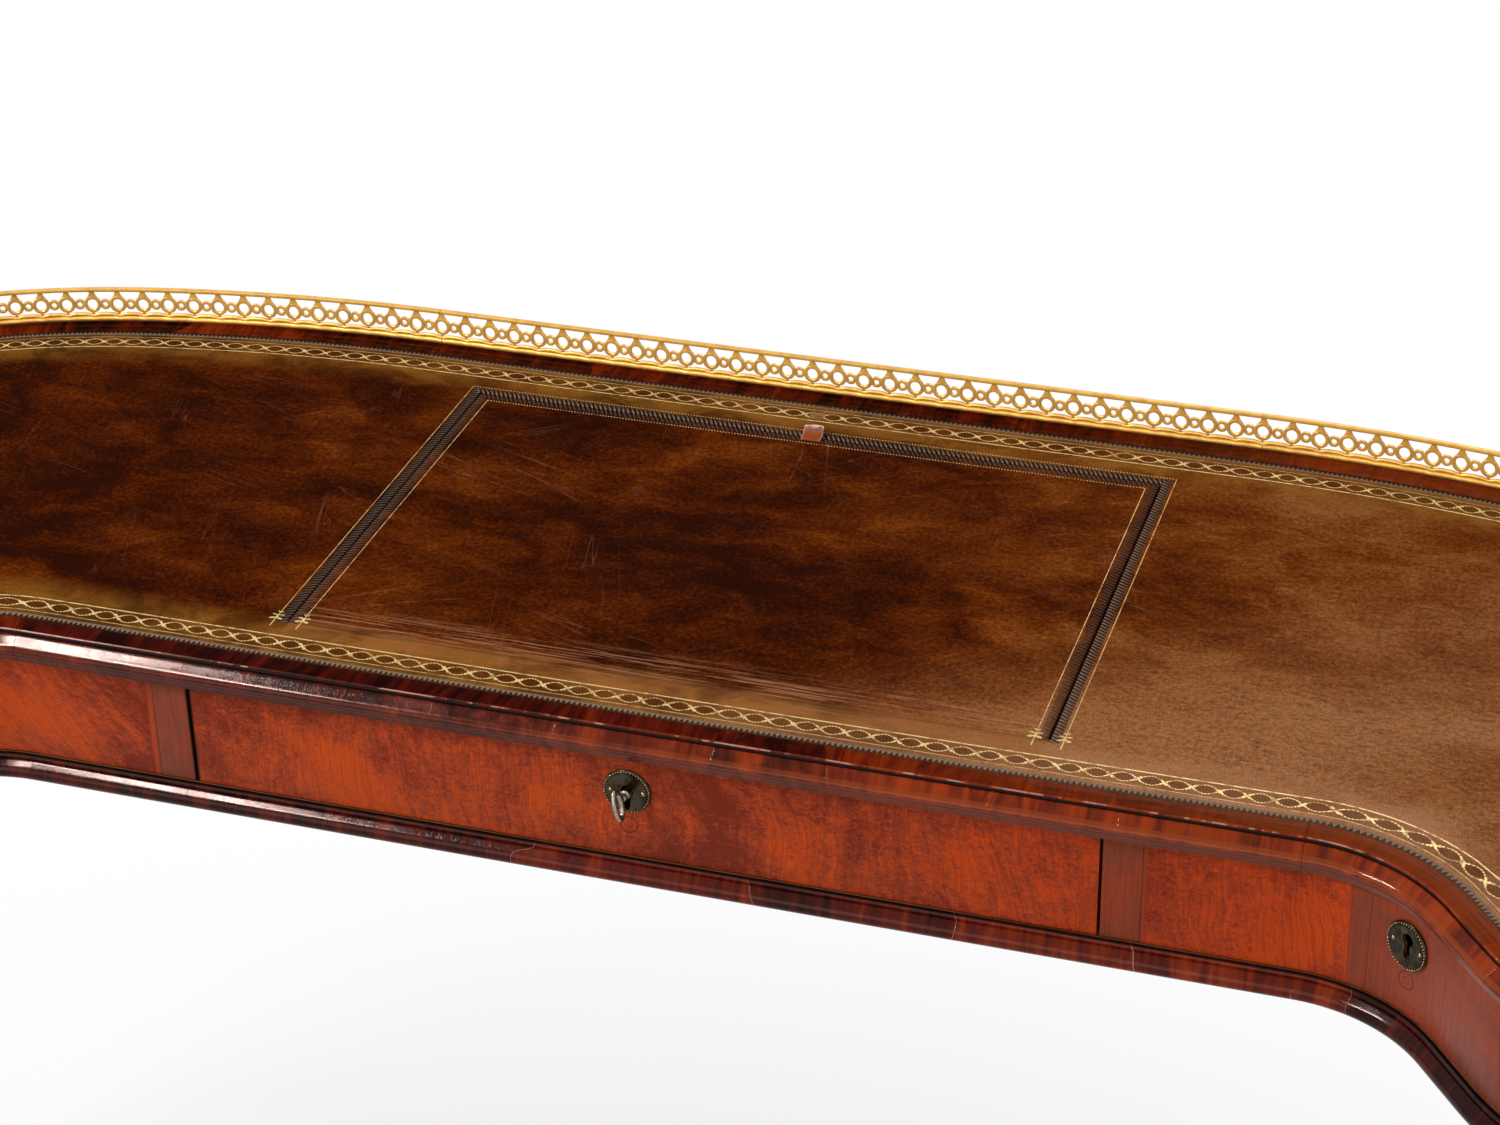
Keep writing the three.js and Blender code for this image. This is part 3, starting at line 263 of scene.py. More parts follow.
class Outline:
    """Half of the table's plan as lines and arcs, from the middle of the front to the middle of the back.

    A stretch of length l and turn t has the radius l / t. The last two radii of the end are the
    solution of two linear equations: the end meets both the lobe and the shoulder of the back."""

    def __init__(self, size):
        quarter = math.pi / 2
        turn = size.cove_turn
        cove_end = (size.straight_half + size.cove_radius * math.sin(turn)
                    + size.cove_run * math.cos(turn))
        lobe = (size.half_width - cove_end) / (1 + math.sin(turn))
        reach = (size.cove_radius + lobe) * (1 - math.cos(turn)) + size.cove_run * math.sin(turn)
        depth = size.body_depth + reach
        back_reach = size.half_width - size.back_half
        back_radius = size.back_share * back_reach
        shoulder_radius = size.shoulder_share * back_reach
        self.front_y = reach - depth / 2
        self.back_y = depth / 2
        self.last_heading = math.pi - size.back_turn - size.shoulder_turn
        last = size.back_turn + size.shoulder_turn
        shoulder_x = (size.back_half + back_radius * math.sin(size.back_turn)
                      + shoulder_radius * (math.sin(last) - math.sin(size.back_turn)))
        shoulder_y = (self.back_y - back_radius * (1 - math.cos(size.back_turn))
                      - shoulder_radius * (math.cos(size.back_turn) - math.cos(last)))
        middle = quarter + size.side_turn
        turns = np.array([[math.sin(middle) - 1, math.sin(self.last_heading) - math.sin(middle)],
                          [-math.cos(middle), math.cos(middle) - math.cos(self.last_heading)]])
        gap = np.array([shoulder_x - size.half_width, shoulder_y - (lobe - self.back_y)])
        side_radius, corner_radius = np.linalg.solve(turns, gap)
        corner_turn = quarter - size.side_turn - last
        self.stretches = [
            ("front", size.straight_half, 0.0),
            ("cove", size.cove_radius * turn, -turn),
            ("run", size.cove_run, 0.0),
            ("lobe_front", lobe * turn, turn),
            ("lobe_side", lobe * quarter, quarter),
            ("side", side_radius * size.side_turn, size.side_turn),
            ("corner", corner_radius * corner_turn, corner_turn),
            ("shoulder", shoulder_radius * size.shoulder_turn, size.shoulder_turn),
            ("back_arc", back_radius * size.back_turn, size.back_turn),
            ("back", size.back_half, 0.0),
        ]
        self.start = {}
        self.length = 0.0
        for name, run, _ in self.stretches:
            self.start[name] = self.length
            self.length += run

    def at(self, along):
        """Point, outward normal and heading at each distance.

        Distances below zero and beyond the middle of the back are on the left half."""
        along = np.asarray(along, float)
        past_middle = along > self.length
        side = np.where((along < 0) | past_middle, -1.0, 1.0)
        along = np.where(past_middle, 2 * self.length - along, along)
        x = np.zeros_like(along)
        y = np.full_like(along, self.front_y)
        heading = np.zeros_like(along)
        for name, span, turn in self.stretches:
            run = np.clip(np.abs(along) - self.start[name], 0, span)
            turned = turn * run / span
            if turn == 0:
                x += run * np.cos(heading)
                y += run * np.sin(heading)
            else:
                x += span / turn * (np.sin(heading + turned) - np.sin(heading))
                y -= span / turn * (np.cos(heading + turned) - np.cos(heading))
            heading = heading + turned
        return side * x, y, side * np.sin(heading), -np.cos(heading), heading

    def stations(self, first, last, curve_step=0.005, line_step=0.03):
        """Distances from first to last, close together on the arcs and wide apart on the lines."""
        places = [first]
        low, high = min(abs(first), abs(last)), max(abs(first), abs(last))
        for name, span, turn in self.stretches:
            steps = max(1, math.ceil(span / (line_step if turn == 0 else curve_step)))
            places += [s for s in np.linspace(self.start[name], self.start[name] + span, steps + 1)
                       if low < s < high]
        places = sorted(set([low, high] + [float(abs(s)) for s in places]))
        kept = [places[0]]
        for s in places[1:]:
            if s - kept[-1] > 1e-4:
                kept.append(s)
        kept[-1] = high
        kept = np.array(kept)
        return kept if last > 0 or first > 0 else -kept[::-1]

    def through_middle(self, half):
        """Distances from minus half to half, across the middle of the front."""
        right = self.stations(0.0, half)
        return np.concatenate([-right[:0:-1], right])

    def banding(self, heading):
        """Width of the crossbanding: narrow along the front, smoothly wider where the gallery stands."""
        size = bpy.context.scene.table_sizes
        t = np.clip((heading - math.pi / 2) / (self.last_heading - math.pi / 2), 0, 1)
        return size.front_band + (size.rear_band - size.front_band) * t * t * (3 - 2 * t)


class Shell:
    """The vertices, faces and face coordinates of one piece, gathered surface by surface."""

    def __init__(self):
        self.points, self.corners, self.sizes, self.uvs, self.slots = [], [], [], [], []
        self.total = 0

    def grid(self, points, uv=None, wrap_rows=False, wrap_columns=False, caps=False, slot=0, flip=None):
        """Adds a surface given as rows and columns of points.

        A wrapped direction joins its last line to its first. Caps close the first and the last row.
        A closed surface is turned over if its signed volume, a sixth of the sum of a . (b x c) over
        its faces, comes out negative."""
        rows, columns = points.shape[:2]
        r = np.arange(rows if wrap_rows else rows - 1)[:, None]
        c = np.arange(columns if wrap_columns else columns - 1)[None, :]
        below, beside = (r + 1) % rows, (c + 1) % columns
        quads = np.stack([r * columns + c, r * columns + beside, below * columns + beside,
                          below * columns + c], -1).reshape(-1, 4)
        if uv is None:
            uv = np.zeros((rows + 1, columns + 1, 2))
        wide = uv.shape[1]
        uv_quads = np.stack([r * wide + c, r * wide + c + 1, (r + 1) * wide + c + 1,
                             (r + 1) * wide + c], -1).reshape(-1, 4)
        flat_uv = uv.reshape(-1, 2)
        faces = [(quads, flat_uv[uv_quads])]
        if caps:
            ring = np.arange(columns)
            first, last = ring[::-1], ring
            faces.append((first[None, :], flat_uv[first][None]))
            faces.append(((rows - 1) * columns + last[None, :], flat_uv[(rows - 1) * wide + last][None]))
        flat = points.reshape(-1, 3)
        if flip is None:
            flip = self.volume(flat, faces) < 0
        for index, coordinates in faces:
            if flip:
                index, coordinates = index[:, ::-1], coordinates[:, ::-1]
            self.corners.append((index + self.total).ravel())
            self.sizes.append(np.full(len(index), index.shape[1]))
            self.uvs.append(coordinates.reshape(-1, 2))
            self.slots.append(np.full(len(index), slot))
        self.points.append(flat)
        self.total += len(flat)

    @staticmethod
    def volume(points, faces):
        total = 0.0
        for index, _ in faces:
            corners = points[index]
            for k in range(1, index.shape[1] - 1):
                cross = np.cross(corners[:, k], corners[:, k + 1])
                total += float(np.einsum("ij,ij->", corners[:, 0], cross))
        return total

    def make(self, name, materials, merge=False, sharp=35):
        """Makes the mesh object; merge welds seams and poles, and sharp is the angle of a crisp edge."""
        points = np.concatenate(self.points)
        corners = np.concatenate(self.corners)
        sizes = np.concatenate(self.sizes)
        mesh = bpy.data.meshes.new(name)
        mesh.vertices.add(len(points))
        mesh.vertices.foreach_set("co", points.astype(np.float32).ravel())
        mesh.loops.add(len(corners))
        mesh.loops.foreach_set("vertex_index", corners.astype(np.int32))
        mesh.polygons.add(len(sizes))
        starts = np.concatenate([[0], np.cumsum(sizes)[:-1]])
        mesh.polygons.foreach_set("loop_start", starts.astype(np.int32))
        mesh.update(calc_edges=True)
        layer = mesh.uv_layers.new(name="Surface")
        layer.data.foreach_set("uv", np.concatenate(self.uvs).astype(np.float32).ravel())
        mesh.polygons.foreach_set("material_index", np.concatenate(self.slots).astype(np.int32))
        for material in materials:
            mesh.materials.append(material)
        if merge:
            weld(mesh)
        finish_edges(mesh, sharp)
        piece = bpy.data.objects.new(name, mesh)
        bpy.context.scene.collection.objects.link(piece)
        return piece


def weld(mesh):
    """Merges vertices that lie on one another, which closes seams and poles."""
    work = bmesh.new()
    work.from_mesh(mesh)
    bmesh.ops.remove_doubles(work, verts=work.verts, dist=1e-6)
    bmesh.ops.dissolve_degenerate(work, edges=work.edges, dist=1e-7)
    work.to_mesh(mesh)
    work.free()


def finish_edges(mesh, sharp):
    mesh.polygons.foreach_set("use_smooth", np.ones(len(mesh.polygons), bool))
    mesh.set_sharp_from_angle(angle=sharp * degree)
    mesh.update()


def placed(piece, body, slot_name, *nodes):
    """The piece rides on a body and stands for the nodes it replaces; its finish slot name is not used."""
    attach(piece, body)
    if nodes:
        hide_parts(*nodes)
    return piece


def stacked(*parts):
    """Points or face coordinates of a grid from their parts, spread to one shape."""
    return np.stack(np.broadcast_arrays(*parts), -1)


def around(out, up):
    """Distance along a profile from its first point, one row a station, with the closing step added."""
    closed_out = np.concatenate([out, out[:, :1]], 1)
    closed_up = np.concatenate([up, up[:, :1]], 1)
    steps = np.hypot(np.diff(closed_out, axis=1), np.diff(closed_up, axis=1))
    return np.concatenate([np.zeros((len(out), 1)), np.cumsum(steps, 1)], 1)


def sweep(shell, outline, along, out, up, travel):
    """A closed profile carried along the outline: the point plus its normal times out, at level up.

    out and up have a row for each station. travel is the second face coordinate, the first is along."""
    x, y, nx, ny, _ = outline.at(along)
    points = stacked(x[:, None] + nx[:, None] * out, y[:, None] + ny[:, None] * out, up)
    shell.grid(points, stacked(along[:, None], travel), wrap_columns=True, caps=True)


def ellipse_arc(centre, radii, first, last, steps):
    """Points (out, up) on an ellipse from the angle first to last, in degrees above the outward line."""
    t = np.linspace(first, last, steps) * degree
    return stacked(centre[0] + radii[0] * np.cos(t), centre[1] + radii[1] * np.sin(t))


def edge_profile(size, band):
    """Profile of the top's edge for each width of the band.

    From the leather outwards and down: flat band, arris, quirk, thumb, fillet and cavetto."""
    height, out = size.edge_height, size.edge_out
    arris = 0.0009
    cavetto = np.linspace(0, 1, 6)
    fixed = np.concatenate([
        ellipse_arc((-arris, -arris), (arris, arris), 90, 0, 5),
        [(-0.02 * out, -0.125 * height), (-0.11 * out, -0.155 * height), (-0.10 * out, -0.175 * height)],
        rounded(np.array([(-0.10, -0.177), (0.03, -0.174), (0.13, -0.196), (0.34, -0.268), (0.56, -0.344),
                          (0.78, -0.420), (0.93, -0.490), (0.995, -0.56), (0.96, -0.635), (0.84, -0.692),
                          (0.65, -0.716)]) * (out, height), 3),
        [(0.60 * out, -0.76 * height)],
        stacked(out * (0.56 - 0.16 * cavetto ** 0.6), -height * (0.775 + 0.225 * cavetto)),
        [(-0.003, -height), (-0.003, -size.leather_depth)],
    ])
    inner = np.stack([stacked(-band, -size.leather_depth), stacked(-band, 0.0)], 1)
    profile = np.concatenate([inner, np.repeat(fixed[None], len(band), 0)], 1)
    return profile[..., 0], profile[..., 1]


def lower_profile(size):
    """Profile of the lower moulding: a fillet, a quirk and a half round, and its flat back."""
    height, out = size.lower_height, size.lower_out
    back = -0.0002
    return np.concatenate([
        [(back, 0)], [(0.24 * out, 0)],
        ellipse_arc((0.20 * out, -0.12 * height), (0.10 * out, 0.08 * height), 60, -60, 5),
        rounded(np.array([(0.32, -0.205), (0.38, -0.208), (0.46, -0.240), (0.60, -0.303), (0.74, -0.366),
                          (0.86, -0.430), (0.95, -0.51), (1.0, -0.62), (0.985, -0.73), (0.87, -0.84),
                          (0.65, -0.93), (0.40, -0.977), (0.22, -0.985)]) * (out, height), 2),
        [(back, -0.985 * height)],
    ])


def board_profile(size, low, high):
    """Upright board behind the frieze's face, with small rounded arrises on the face."""
    face = -size.frieze_setback
    back = face - size.frieze_depth
    r = 0.0008
    return np.concatenate([
        [(back, low)],
        ellipse_arc((face - r, low + r), (r, r), -90, 0, 4),
        ellipse_arc((face - r, high - r), (r, r), 0, 90, 4),
        [(back, high)],
    ])


def moulded(name, outline, along, profile_of, base, body, materials, slot_name, nodes, zero_column=0):
    """A moulding swept along the outline whose second face coordinate is zero at one of its columns.

    With two materials the faces before that column have the second one."""
    _, _, _, _, heading = outline.at(along)
    out, up = profile_of(heading)
    travel = around(out, up)
    travel = travel - travel[:, zero_column:zero_column + 1]
    shell = Shell()
    sweep(shell, outline, along, out, up + base, travel)
    if len(materials) > 1:
        flat_part = np.arange(out.shape[1]) < zero_column
        shell.slots[0] = np.tile(flat_part.astype(int), len(along) - 1)
    return placed(shell.make(name, materials), body, slot_name, *nodes)


def turned(shell, profile, sides_count, slot=0, centre=(0, 0, 0)):
    """A surface of revolution: (radius, height) carried round the upright axis through centre."""
    t = np.linspace(0, 2 * math.pi, sides_count + 1)[:-1]
    radius, height = profile[:, 0][:, None], profile[:, 1][:, None]
    points = stacked(radius * np.cos(t), radius * np.sin(t), height) + np.array(centre)
    lengths = np.concatenate([[0], np.cumsum(np.hypot(*np.diff(profile, axis=0).T))])
    turn = np.linspace(0, 1, sides_count + 1)
    biggest = 2 * math.pi * profile[:, 0].max()
    uv = stacked(turn[None, :] * biggest, lengths[:, None])
    shell.grid(points, uv, wrap_columns=True, slot=slot)


def rounded(points, steps=5):
    """Smooth line through the points: each span is a cubic whose end slopes follow its neighbours."""
    points = np.asarray(points, float)
    padded = np.concatenate([points[:1], points, points[-1:]])
    t = np.linspace(0, 1, steps + 1)[:-1][:, None]
    spans = []
    for p0, p1, p2, p3 in zip(padded, padded[1:], padded[2:], padded[3:]):
        spans.append(0.5 * (2 * p1 + (p2 - p0) * t + (2 * p0 - 5 * p1 + 4 * p2 - p3) * t ** 2
                            + (3 * p1 - p0 - 3 * p2 + p3) * t ** 3))
    return np.concatenate(spans + [points[-1:]])


def tube(shell, path, radii, section_sides, normal, flat=1.0):
    """A tube of elliptic section along a flat closed path.

    path holds points in space, normal is the direction square to its plane, and radii are the
    section's half widths in the plane and along the normal, one pair or one pair a point. A flat power
    below one squares the section."""
    path = np.asarray(path, float)
    radii = np.broadcast_to(np.asarray(radii, float), (len(path), 2))
    tangent = np.roll(path, -1, 0) - np.roll(path, 1, 0)
    tangent /= np.linalg.norm(tangent, axis=1)[:, None]
    across = np.cross(tangent, normal)
    t = np.linspace(0, 2 * math.pi, section_sides + 1)[:-1] + math.pi / section_sides
    c, s = (np.sign(v) * np.abs(v) ** flat for v in (np.cos(t), np.sin(t)))
    points = (path[:, None] + across[:, None] * (radii[:, :1] * c)[..., None]
              + np.asarray(normal)[None, None] * (radii[:, 1:] * s)[..., None])
    shell.grid(points, None, wrap_rows=True, wrap_columns=True)


def applied(piece):
    """Replaces the mesh by its evaluated form, so that no modifier is left."""
    bpy.context.view_layer.update()
    graph = bpy.context.evaluated_depsgraph_get()
    mesh = bpy.data.meshes.new_from_object(piece.evaluated_get(graph), depsgraph=graph)
    piece.modifiers.clear()
    old = piece.data
    piece.data = mesh
    bpy.data.meshes.remove(old)


def cut_away(piece, cutters, sharp=35):
    """Takes closed shells out of a piece with exact booleans."""
    for cutter in cutters:
        tool = cutter.make("cutter", [once(keyhole_shadow)])
        change = piece.modifiers.new("Cut", "BOOLEAN")
        change.operation = "DIFFERENCE"
        change.solver = "EXACT"
        change.material_mode = "TRANSFER"
        change.object = tool
        applied(piece)
        bpy.data.objects.remove(tool)
    finish_edges(piece.data, sharp)


def prism(ring, axis, levels, shell=None):
    """Closed prism with the ring's points at two levels of one axis."""
    shell = shell or Shell()
    points = np.stack([np.insert(ring, axis, level, axis=1) for level in levels])
    shell.grid(points, None, wrap_columns=True, caps=True)
    return shell


def box_shell(low, high):
    """Closed box between two corners."""
    (x0, y0, z0), (x1, y1, z1) = low, high
    return prism(np.array([(x0, y0), (x1, y0), (x1, y1), (x0, y1)]), 2, (z0, z1))


def keyhole_shell(front, back, rise):
    """Keyhole-shaped prism along Y: a round head over a narrower foot, both raised by rise."""
    fitting = bpy.context.scene.fitting_sizes
    radius, half, drop = fitting.keyhole_head, fitting.keyhole_half, fitting.keyhole_reach
    meet = math.degrees(math.asin(half / radius))
    head = ellipse_arc((0, 0), (radius, radius), -90 + meet, 270 - meet, 18)
    foot = ellipse_arc((0, -drop + half), (half, half), 180, 360, 6)
    return prism(np.concatenate([head, foot]) + (0, rise), 1, (front, back))


def moved(shell, matrix):
    """Carries a shell's points through a matrix."""
    turn = np.array(matrix.to_3x3())
    shell.points = [p @ turn.T + np.array(matrix.translation) for p in shell.points]
    return shell


class Field:
    """A shader socket that can stand in a sum, a difference or a product."""

    def __init__(self, nodes, socket):
        self.nodes = nodes
        self.socket = socket

    def __add__(self, other):
        return self.nodes.math("ADD", self, other)

    def __radd__(self, other):
        return self.nodes.math("ADD", other, self)

    def __sub__(self, other):
        return self.nodes.math("SUBTRACT", self, other)

    def __rsub__(self, other):
        return self.nodes.math("SUBTRACT", other, self)

    def __mul__(self, other):
        return self.nodes.math("MULTIPLY", self, other)

    def __rmul__(self, other):
        return self.nodes.math("MULTIPLY", other, self)


class Nodes:
    """Short calls that add and link shader nodes in one tree."""

    def __init__(self, tree):
        self.tree = tree

    def new(self, kind, inputs=None, **settings):
        node = self.tree.nodes.new(kind)
        for name, value in settings.items():
            setattr(node, name, value)
        for name, value in (inputs or {}).items():
            self.put(node.inputs[name], value)
        return node

    def made(self, kind, inputs=None, output=0, **settings):
        """One output of a new node."""
        return Field(self, self.new(kind, inputs, **settings).outputs[output])

    def fields(self, sockets):
        """The sockets by their names."""
        return {socket.name: Field(self, socket) for socket in sockets}

    def put(self, socket, value):
        if isinstance(value, Field):
            self.tree.links.new(value.socket, socket)
        elif socket.type == "RGBA" and len(value) == 3:
            socket.default_value = (*value, 1)
        else:
            socket.default_value = value

    def math(self, operation, a, b=0.0, c=0.0):
        return self.made("ShaderNodeMath", {0: a, 1: b, 2: c}, operation=operation)

    def most(self, first, *others):
        for other in others:
            first = self.math("MAXIMUM", first, other)
        return first

    def size_of(self, a):
        return self.math("ABSOLUTE", a)

    def root(self, a):
        return self.math("SQRT", a)

    def scaled(self, vector, factors):
        return self.made("ShaderNodeVectorMath", {0: vector, 1: factors}, operation="MULTIPLY")

    def split(self, vector):
        outputs = self.new("ShaderNodeSeparateXYZ", {0: vector}).outputs
        return [Field(self, socket) for socket in outputs]

    def join(self, x, y=0.0, z=0.0):
        return self.made("ShaderNodeCombineXYZ", {0: x, 1: y, 2: z})

    def noise(self, vector, scale, detail=3.0, roughness=0.5, distortion=0.0):
        return self.made("ShaderNodeTexNoise", {"Vector": vector, "Scale": scale, "Detail": detail,
                                                "Roughness": roughness, "Distortion": distortion})

    def smooth(self, value, low, high, first=0.0, last=1.0):
        """Smooth step from low to high."""
        return self.made("ShaderNodeMapRange", {0: value, 1: low, 2: high, 3: first, 4: last},
                         interpolation_type="SMOOTHSTEP")

    def line(self, value, centre, half, soft):
        """One within half of centre, fading to zero over soft."""
        return self.smooth(self.size_of(value - centre), half, half + soft, 1.0, 0.0)

    def wave(self, value, length_of_one):
        """Sine that repeats every length_of_one."""
        return self.math("SINE", value * (2 * math.pi / length_of_one))

    def mix(self, share_of, a, b, mode="MIX"):
        return self.made("ShaderNodeMix", {0: share_of, 6: a, 7: b}, 2, data_type="RGBA", blend_type=mode)

    def ramp(self, value, *stops):
        """Colour ramp of (place, colour) stops."""
        node = self.new("ShaderNodeValToRGB", {0: value})
        elements = node.color_ramp.elements
        while len(elements) < len(stops):
            elements.new(1.0)
        for element, (place, shade) in zip(elements, stops):
            element.position = place
            element.color = (*shade, 1)
        return Field(self, node.outputs[0])

    def group(self, name, inputs):
        return self.fields(self.new("ShaderNodeGroup", inputs, node_tree=shared_group(name)).outputs)

    def bump(self, height, strength, distance):
        return self.made("ShaderNodeBump", {"Height": height, "Strength": strength, "Distance": distance})


def fine_scratches(tree):
    """Sparse scratches: the middle lines of three stretched noises, kept where a coarse one is high."""
    n, inputs, outputs = group_ends(tree, {"Amount": 0.5}, "Mask")
    masks = []
    for turn_angle, thick in ((0.35, 0.006), (-0.6, 0.005), (1.3, 0.004)):
        turned_vector = n.made("ShaderNodeVectorRotate",
                               {"Vector": inputs["Vector"], "Angle": turn_angle}, rotation_type="Z_AXIS")
        lines = n.noise(n.scaled(turned_vector, (3.0, 55.0, 20.0)), 1.0, 2.0, 0.5, 0.3)
        hair = n.line(lines, 0.5, thick * 0.3, thick)
        place = n.noise(n.scaled(turned_vector, (9.0, 13.0, 9.0)), 1.0, 1.0)
        masks.append(hair * n.smooth(place, 0.56, 0.68))
    n.put(outputs["Mask"], n.most(*masks) * inputs["Amount"])


def wood_grain(tree):
    """Grain in a space whose first axis runs along the fibres: broad figure, streaks and short pores."""
    n, inputs, outputs = group_ends(tree, {"Figure Scale": 1.0}, "Figure", "Streaks", "Pores")
    vector = inputs["Vector"]
    scale = n.join(inputs["Figure Scale"], inputs["Figure Scale"], inputs["Figure Scale"])
    broad = n.scaled(n.scaled(vector, scale), (5.0, 22.0, 22.0))
    n.put(outputs["Figure"], n.noise(broad, 1.0, 3.0, 0.55, 1.1))
    n.put(outputs["Streaks"], n.noise(n.scaled(vector, (9.0, 260.0, 260.0)), 1.0, 4.0, 0.6, 0.4))
    dashes = n.noise(n.scaled(vector, (160.0, 2200.0, 2200.0)), 1.0, 1.0, 0.5)
    n.put(outputs["Pores"], n.smooth(dashes, 0.60, 0.70))


def blotches(tree):
    """Tarnish and handling marks: soft clouds and finer specks."""
    n, inputs, outputs = group_ends(tree, {"Scale": 30.0}, "Clouds", "Specks")
    clouds = n.noise(inputs["Vector"], inputs["Scale"], 4.0, 0.6, 0.4)
    n.put(outputs["Clouds"], n.smooth(clouds, 0.38, 0.68))
    specks = n.noise(inputs["Vector"], inputs["Scale"] * 14.0, 2.0, 0.6)
    n.put(outputs["Specks"], n.smooth(specks, 0.60, 0.72))


def hide_grain(tree):
    """Leather's own grain: fine pebbles with creases between them, and soft clouds of colour."""
    n, inputs, outputs = group_ends(tree, {}, "Pebble", "Clouds", "Mottle")
    vector = inputs["Vector"]
    cells = n.made("ShaderNodeTexVoronoi", {"Vector": vector, "Scale": 900.0}, feature="F1")
    creases = n.noise(vector, 420.0, 4.0, 0.65, 0.6)
    n.put(outputs["Pebble"], cells * -0.5 + creases)
    n.put(outputs["Clouds"], n.noise(n.scaled(vector, (5.0, 8.0, 8.0)), 1.0, 4.0, 0.55, 0.8))
    n.put(outputs["Mottle"], n.noise(n.scaled(vector, (22.0, 34.0, 34.0)), 1.0, 5.0, 0.62, 0.8))


group_makers = {"Fine scratches": fine_scratches, "Wood grain": wood_grain, "Blotches": blotches,
                "Hide grain": hide_grain}


def group_ends(tree, amounts, *exits):
    """A group's node calls, its inputs as fields and the sockets of its outputs.

    Every group has a vector input, a float input for each amount and a float output for each exit."""
    tree.interface.new_socket(name="Vector", in_out="INPUT", socket_type="NodeSocketVector")
    for name, value in amounts.items():
        socket = tree.interface.new_socket(name=name, in_out="INPUT", socket_type="NodeSocketFloat")
        socket.default_value = value
    for name in exits:
        tree.interface.new_socket(name=name, in_out="OUTPUT", socket_type="NodeSocketFloat")
    first = tree.nodes.new("NodeGroupInput")
    last = tree.nodes.new("NodeGroupOutput")
    n = Nodes(tree)
    return n, n.fields(socket for socket in first.outputs if socket.name), last.inputs


def shared_group(name):
    """The node group of that name, made when it is first asked for."""
    found = bpy.data.node_groups.get(name)
    if found is None:
        found = bpy.data.node_groups.new(name, "ShaderNodeTree")
        group_makers[name](found)
    return found


def surface_material(name, **fixed):
    """A new material, its node calls and its shader, with values that are the same all over set on it."""
    material = bpy.data.materials.new(name)
    material.use_nodes = True
    shader = material.node_tree.nodes["Principled BSDF"]
    for key, value in fixed.items():
        shader.inputs[key.replace("_", " ")].default_value = value
    return material, Nodes(material.node_tree), shader


def finished(material, n, shader, base, roughness, height, strength, distance=0.2 * mm):
    """The material with its colour, its roughness and the relief of its height linked."""
    n.put(shader.inputs["Base Color"], base)
    n.put(shader.inputs["Roughness"], roughness)
    n.put(shader.inputs["Normal"], n.bump(height, strength, distance))
    return material


def once(maker, name=None):
    """The material of that name, or of the maker's own name, made only the first time."""
    name = name or maker.__name__
    return bpy.data.materials.get(name) or maker(name)


def object_place(n):
    return n.made("ShaderNodeTexCoord", output="Object")


def surface_place(n):
    return n.made("ShaderNodeUVMap", uv_map="Surface")


def tooled_hide(name):
    """Aged hide: clouds of brown, a pale right-hand end that is partly faded and partly painted sheen, a
    gilt border and tooling round the slope.
    """
    tone = bpy.context.scene.leather_finish
    size = bpy.context.scene.table_sizes
    outline = outline_property()
    hinge_y = outline.front_y + size.hinge_setback
    material, n, shader = surface_material(name, Specular_IOR_Level=0.003)
    place = object_place(n)
    x, y, _ = n.split(place)
    along, inset, _ = n.split(surface_place(n))
    hide = n.group("Hide grain", {"Vector": place})
    base, worn = hide_colour(n, tone, hide, place, x, y, inset)
    scratches = n.group("Fine scratches", {"Vector": place, "Amount": 1.0})["Mask"]
    base = n.mix(scratches * 0.12, base, tone.grey)

    inside = n.smooth(n.size_of(x), size.opening_half - 0.005, size.opening_half - 0.001, 1, 0)
    creases = n.noise(n.join(x * 16.0, y * 520.0), 1.0, 4.0, 0.65, 0.8)
    crease_zone = n.line(y, hinge_y + 0.005, 0.006, 0.022) * inside
    crease = n.smooth(creases, 0.5, 0.62) * crease_zone
    base = n.mix(crease * 0.55, base, tone.grey)
    fold = n.line(y, hinge_y - 0.01, 0.005, 0.014) * inside
    base = n.mix(fold * n.smooth(hide["Mottle"], 0.3, 0.7, 0.2, 0.75), base, tone.tan)

    slope_zone, slope_teeth, slope_gilt = slope_tooling(n, size, x, y, hinge_y)
    edge_zone, edge_teeth, border_gilt, shade = border_tooling(n, along, inset, place)
    base = n.mix(shade, base, tone.deep)
    zone = n.most(slope_zone * 0.8, edge_zone * 0.8)
    ridge = n.most(slope_teeth, edge_teeth)
    base = n.mix(zone, base, tone.tooth_dark)
    # Painted highlight: the ridges of the teeth are made lighter.
    base = n.mix(ridge * 0.7, base, tone.tooth_light)
    fleur = slope_fleur(n, n.size_of(x), y, size.opening_half, hinge_y)
    gilt = n.most(slope_gilt, border_gilt, fleur * 0.75)
    base = n.mix(gilt, base, tone.gilt)

    n.put(shader.inputs["Metallic"], gilt * 0.3)
    roughness = n.smooth(worn, 0.0, 1.0, 0.48, 0.36) - gilt * 0.1
    height = hide["Pebble"] * 0.1 + (ridge - zone) * 0.6 - gilt * 0.4 + creases * crease_zone * 1.4
    return finished(material, n, shader, base, roughness, height, 0.5, 0.4 * mm)


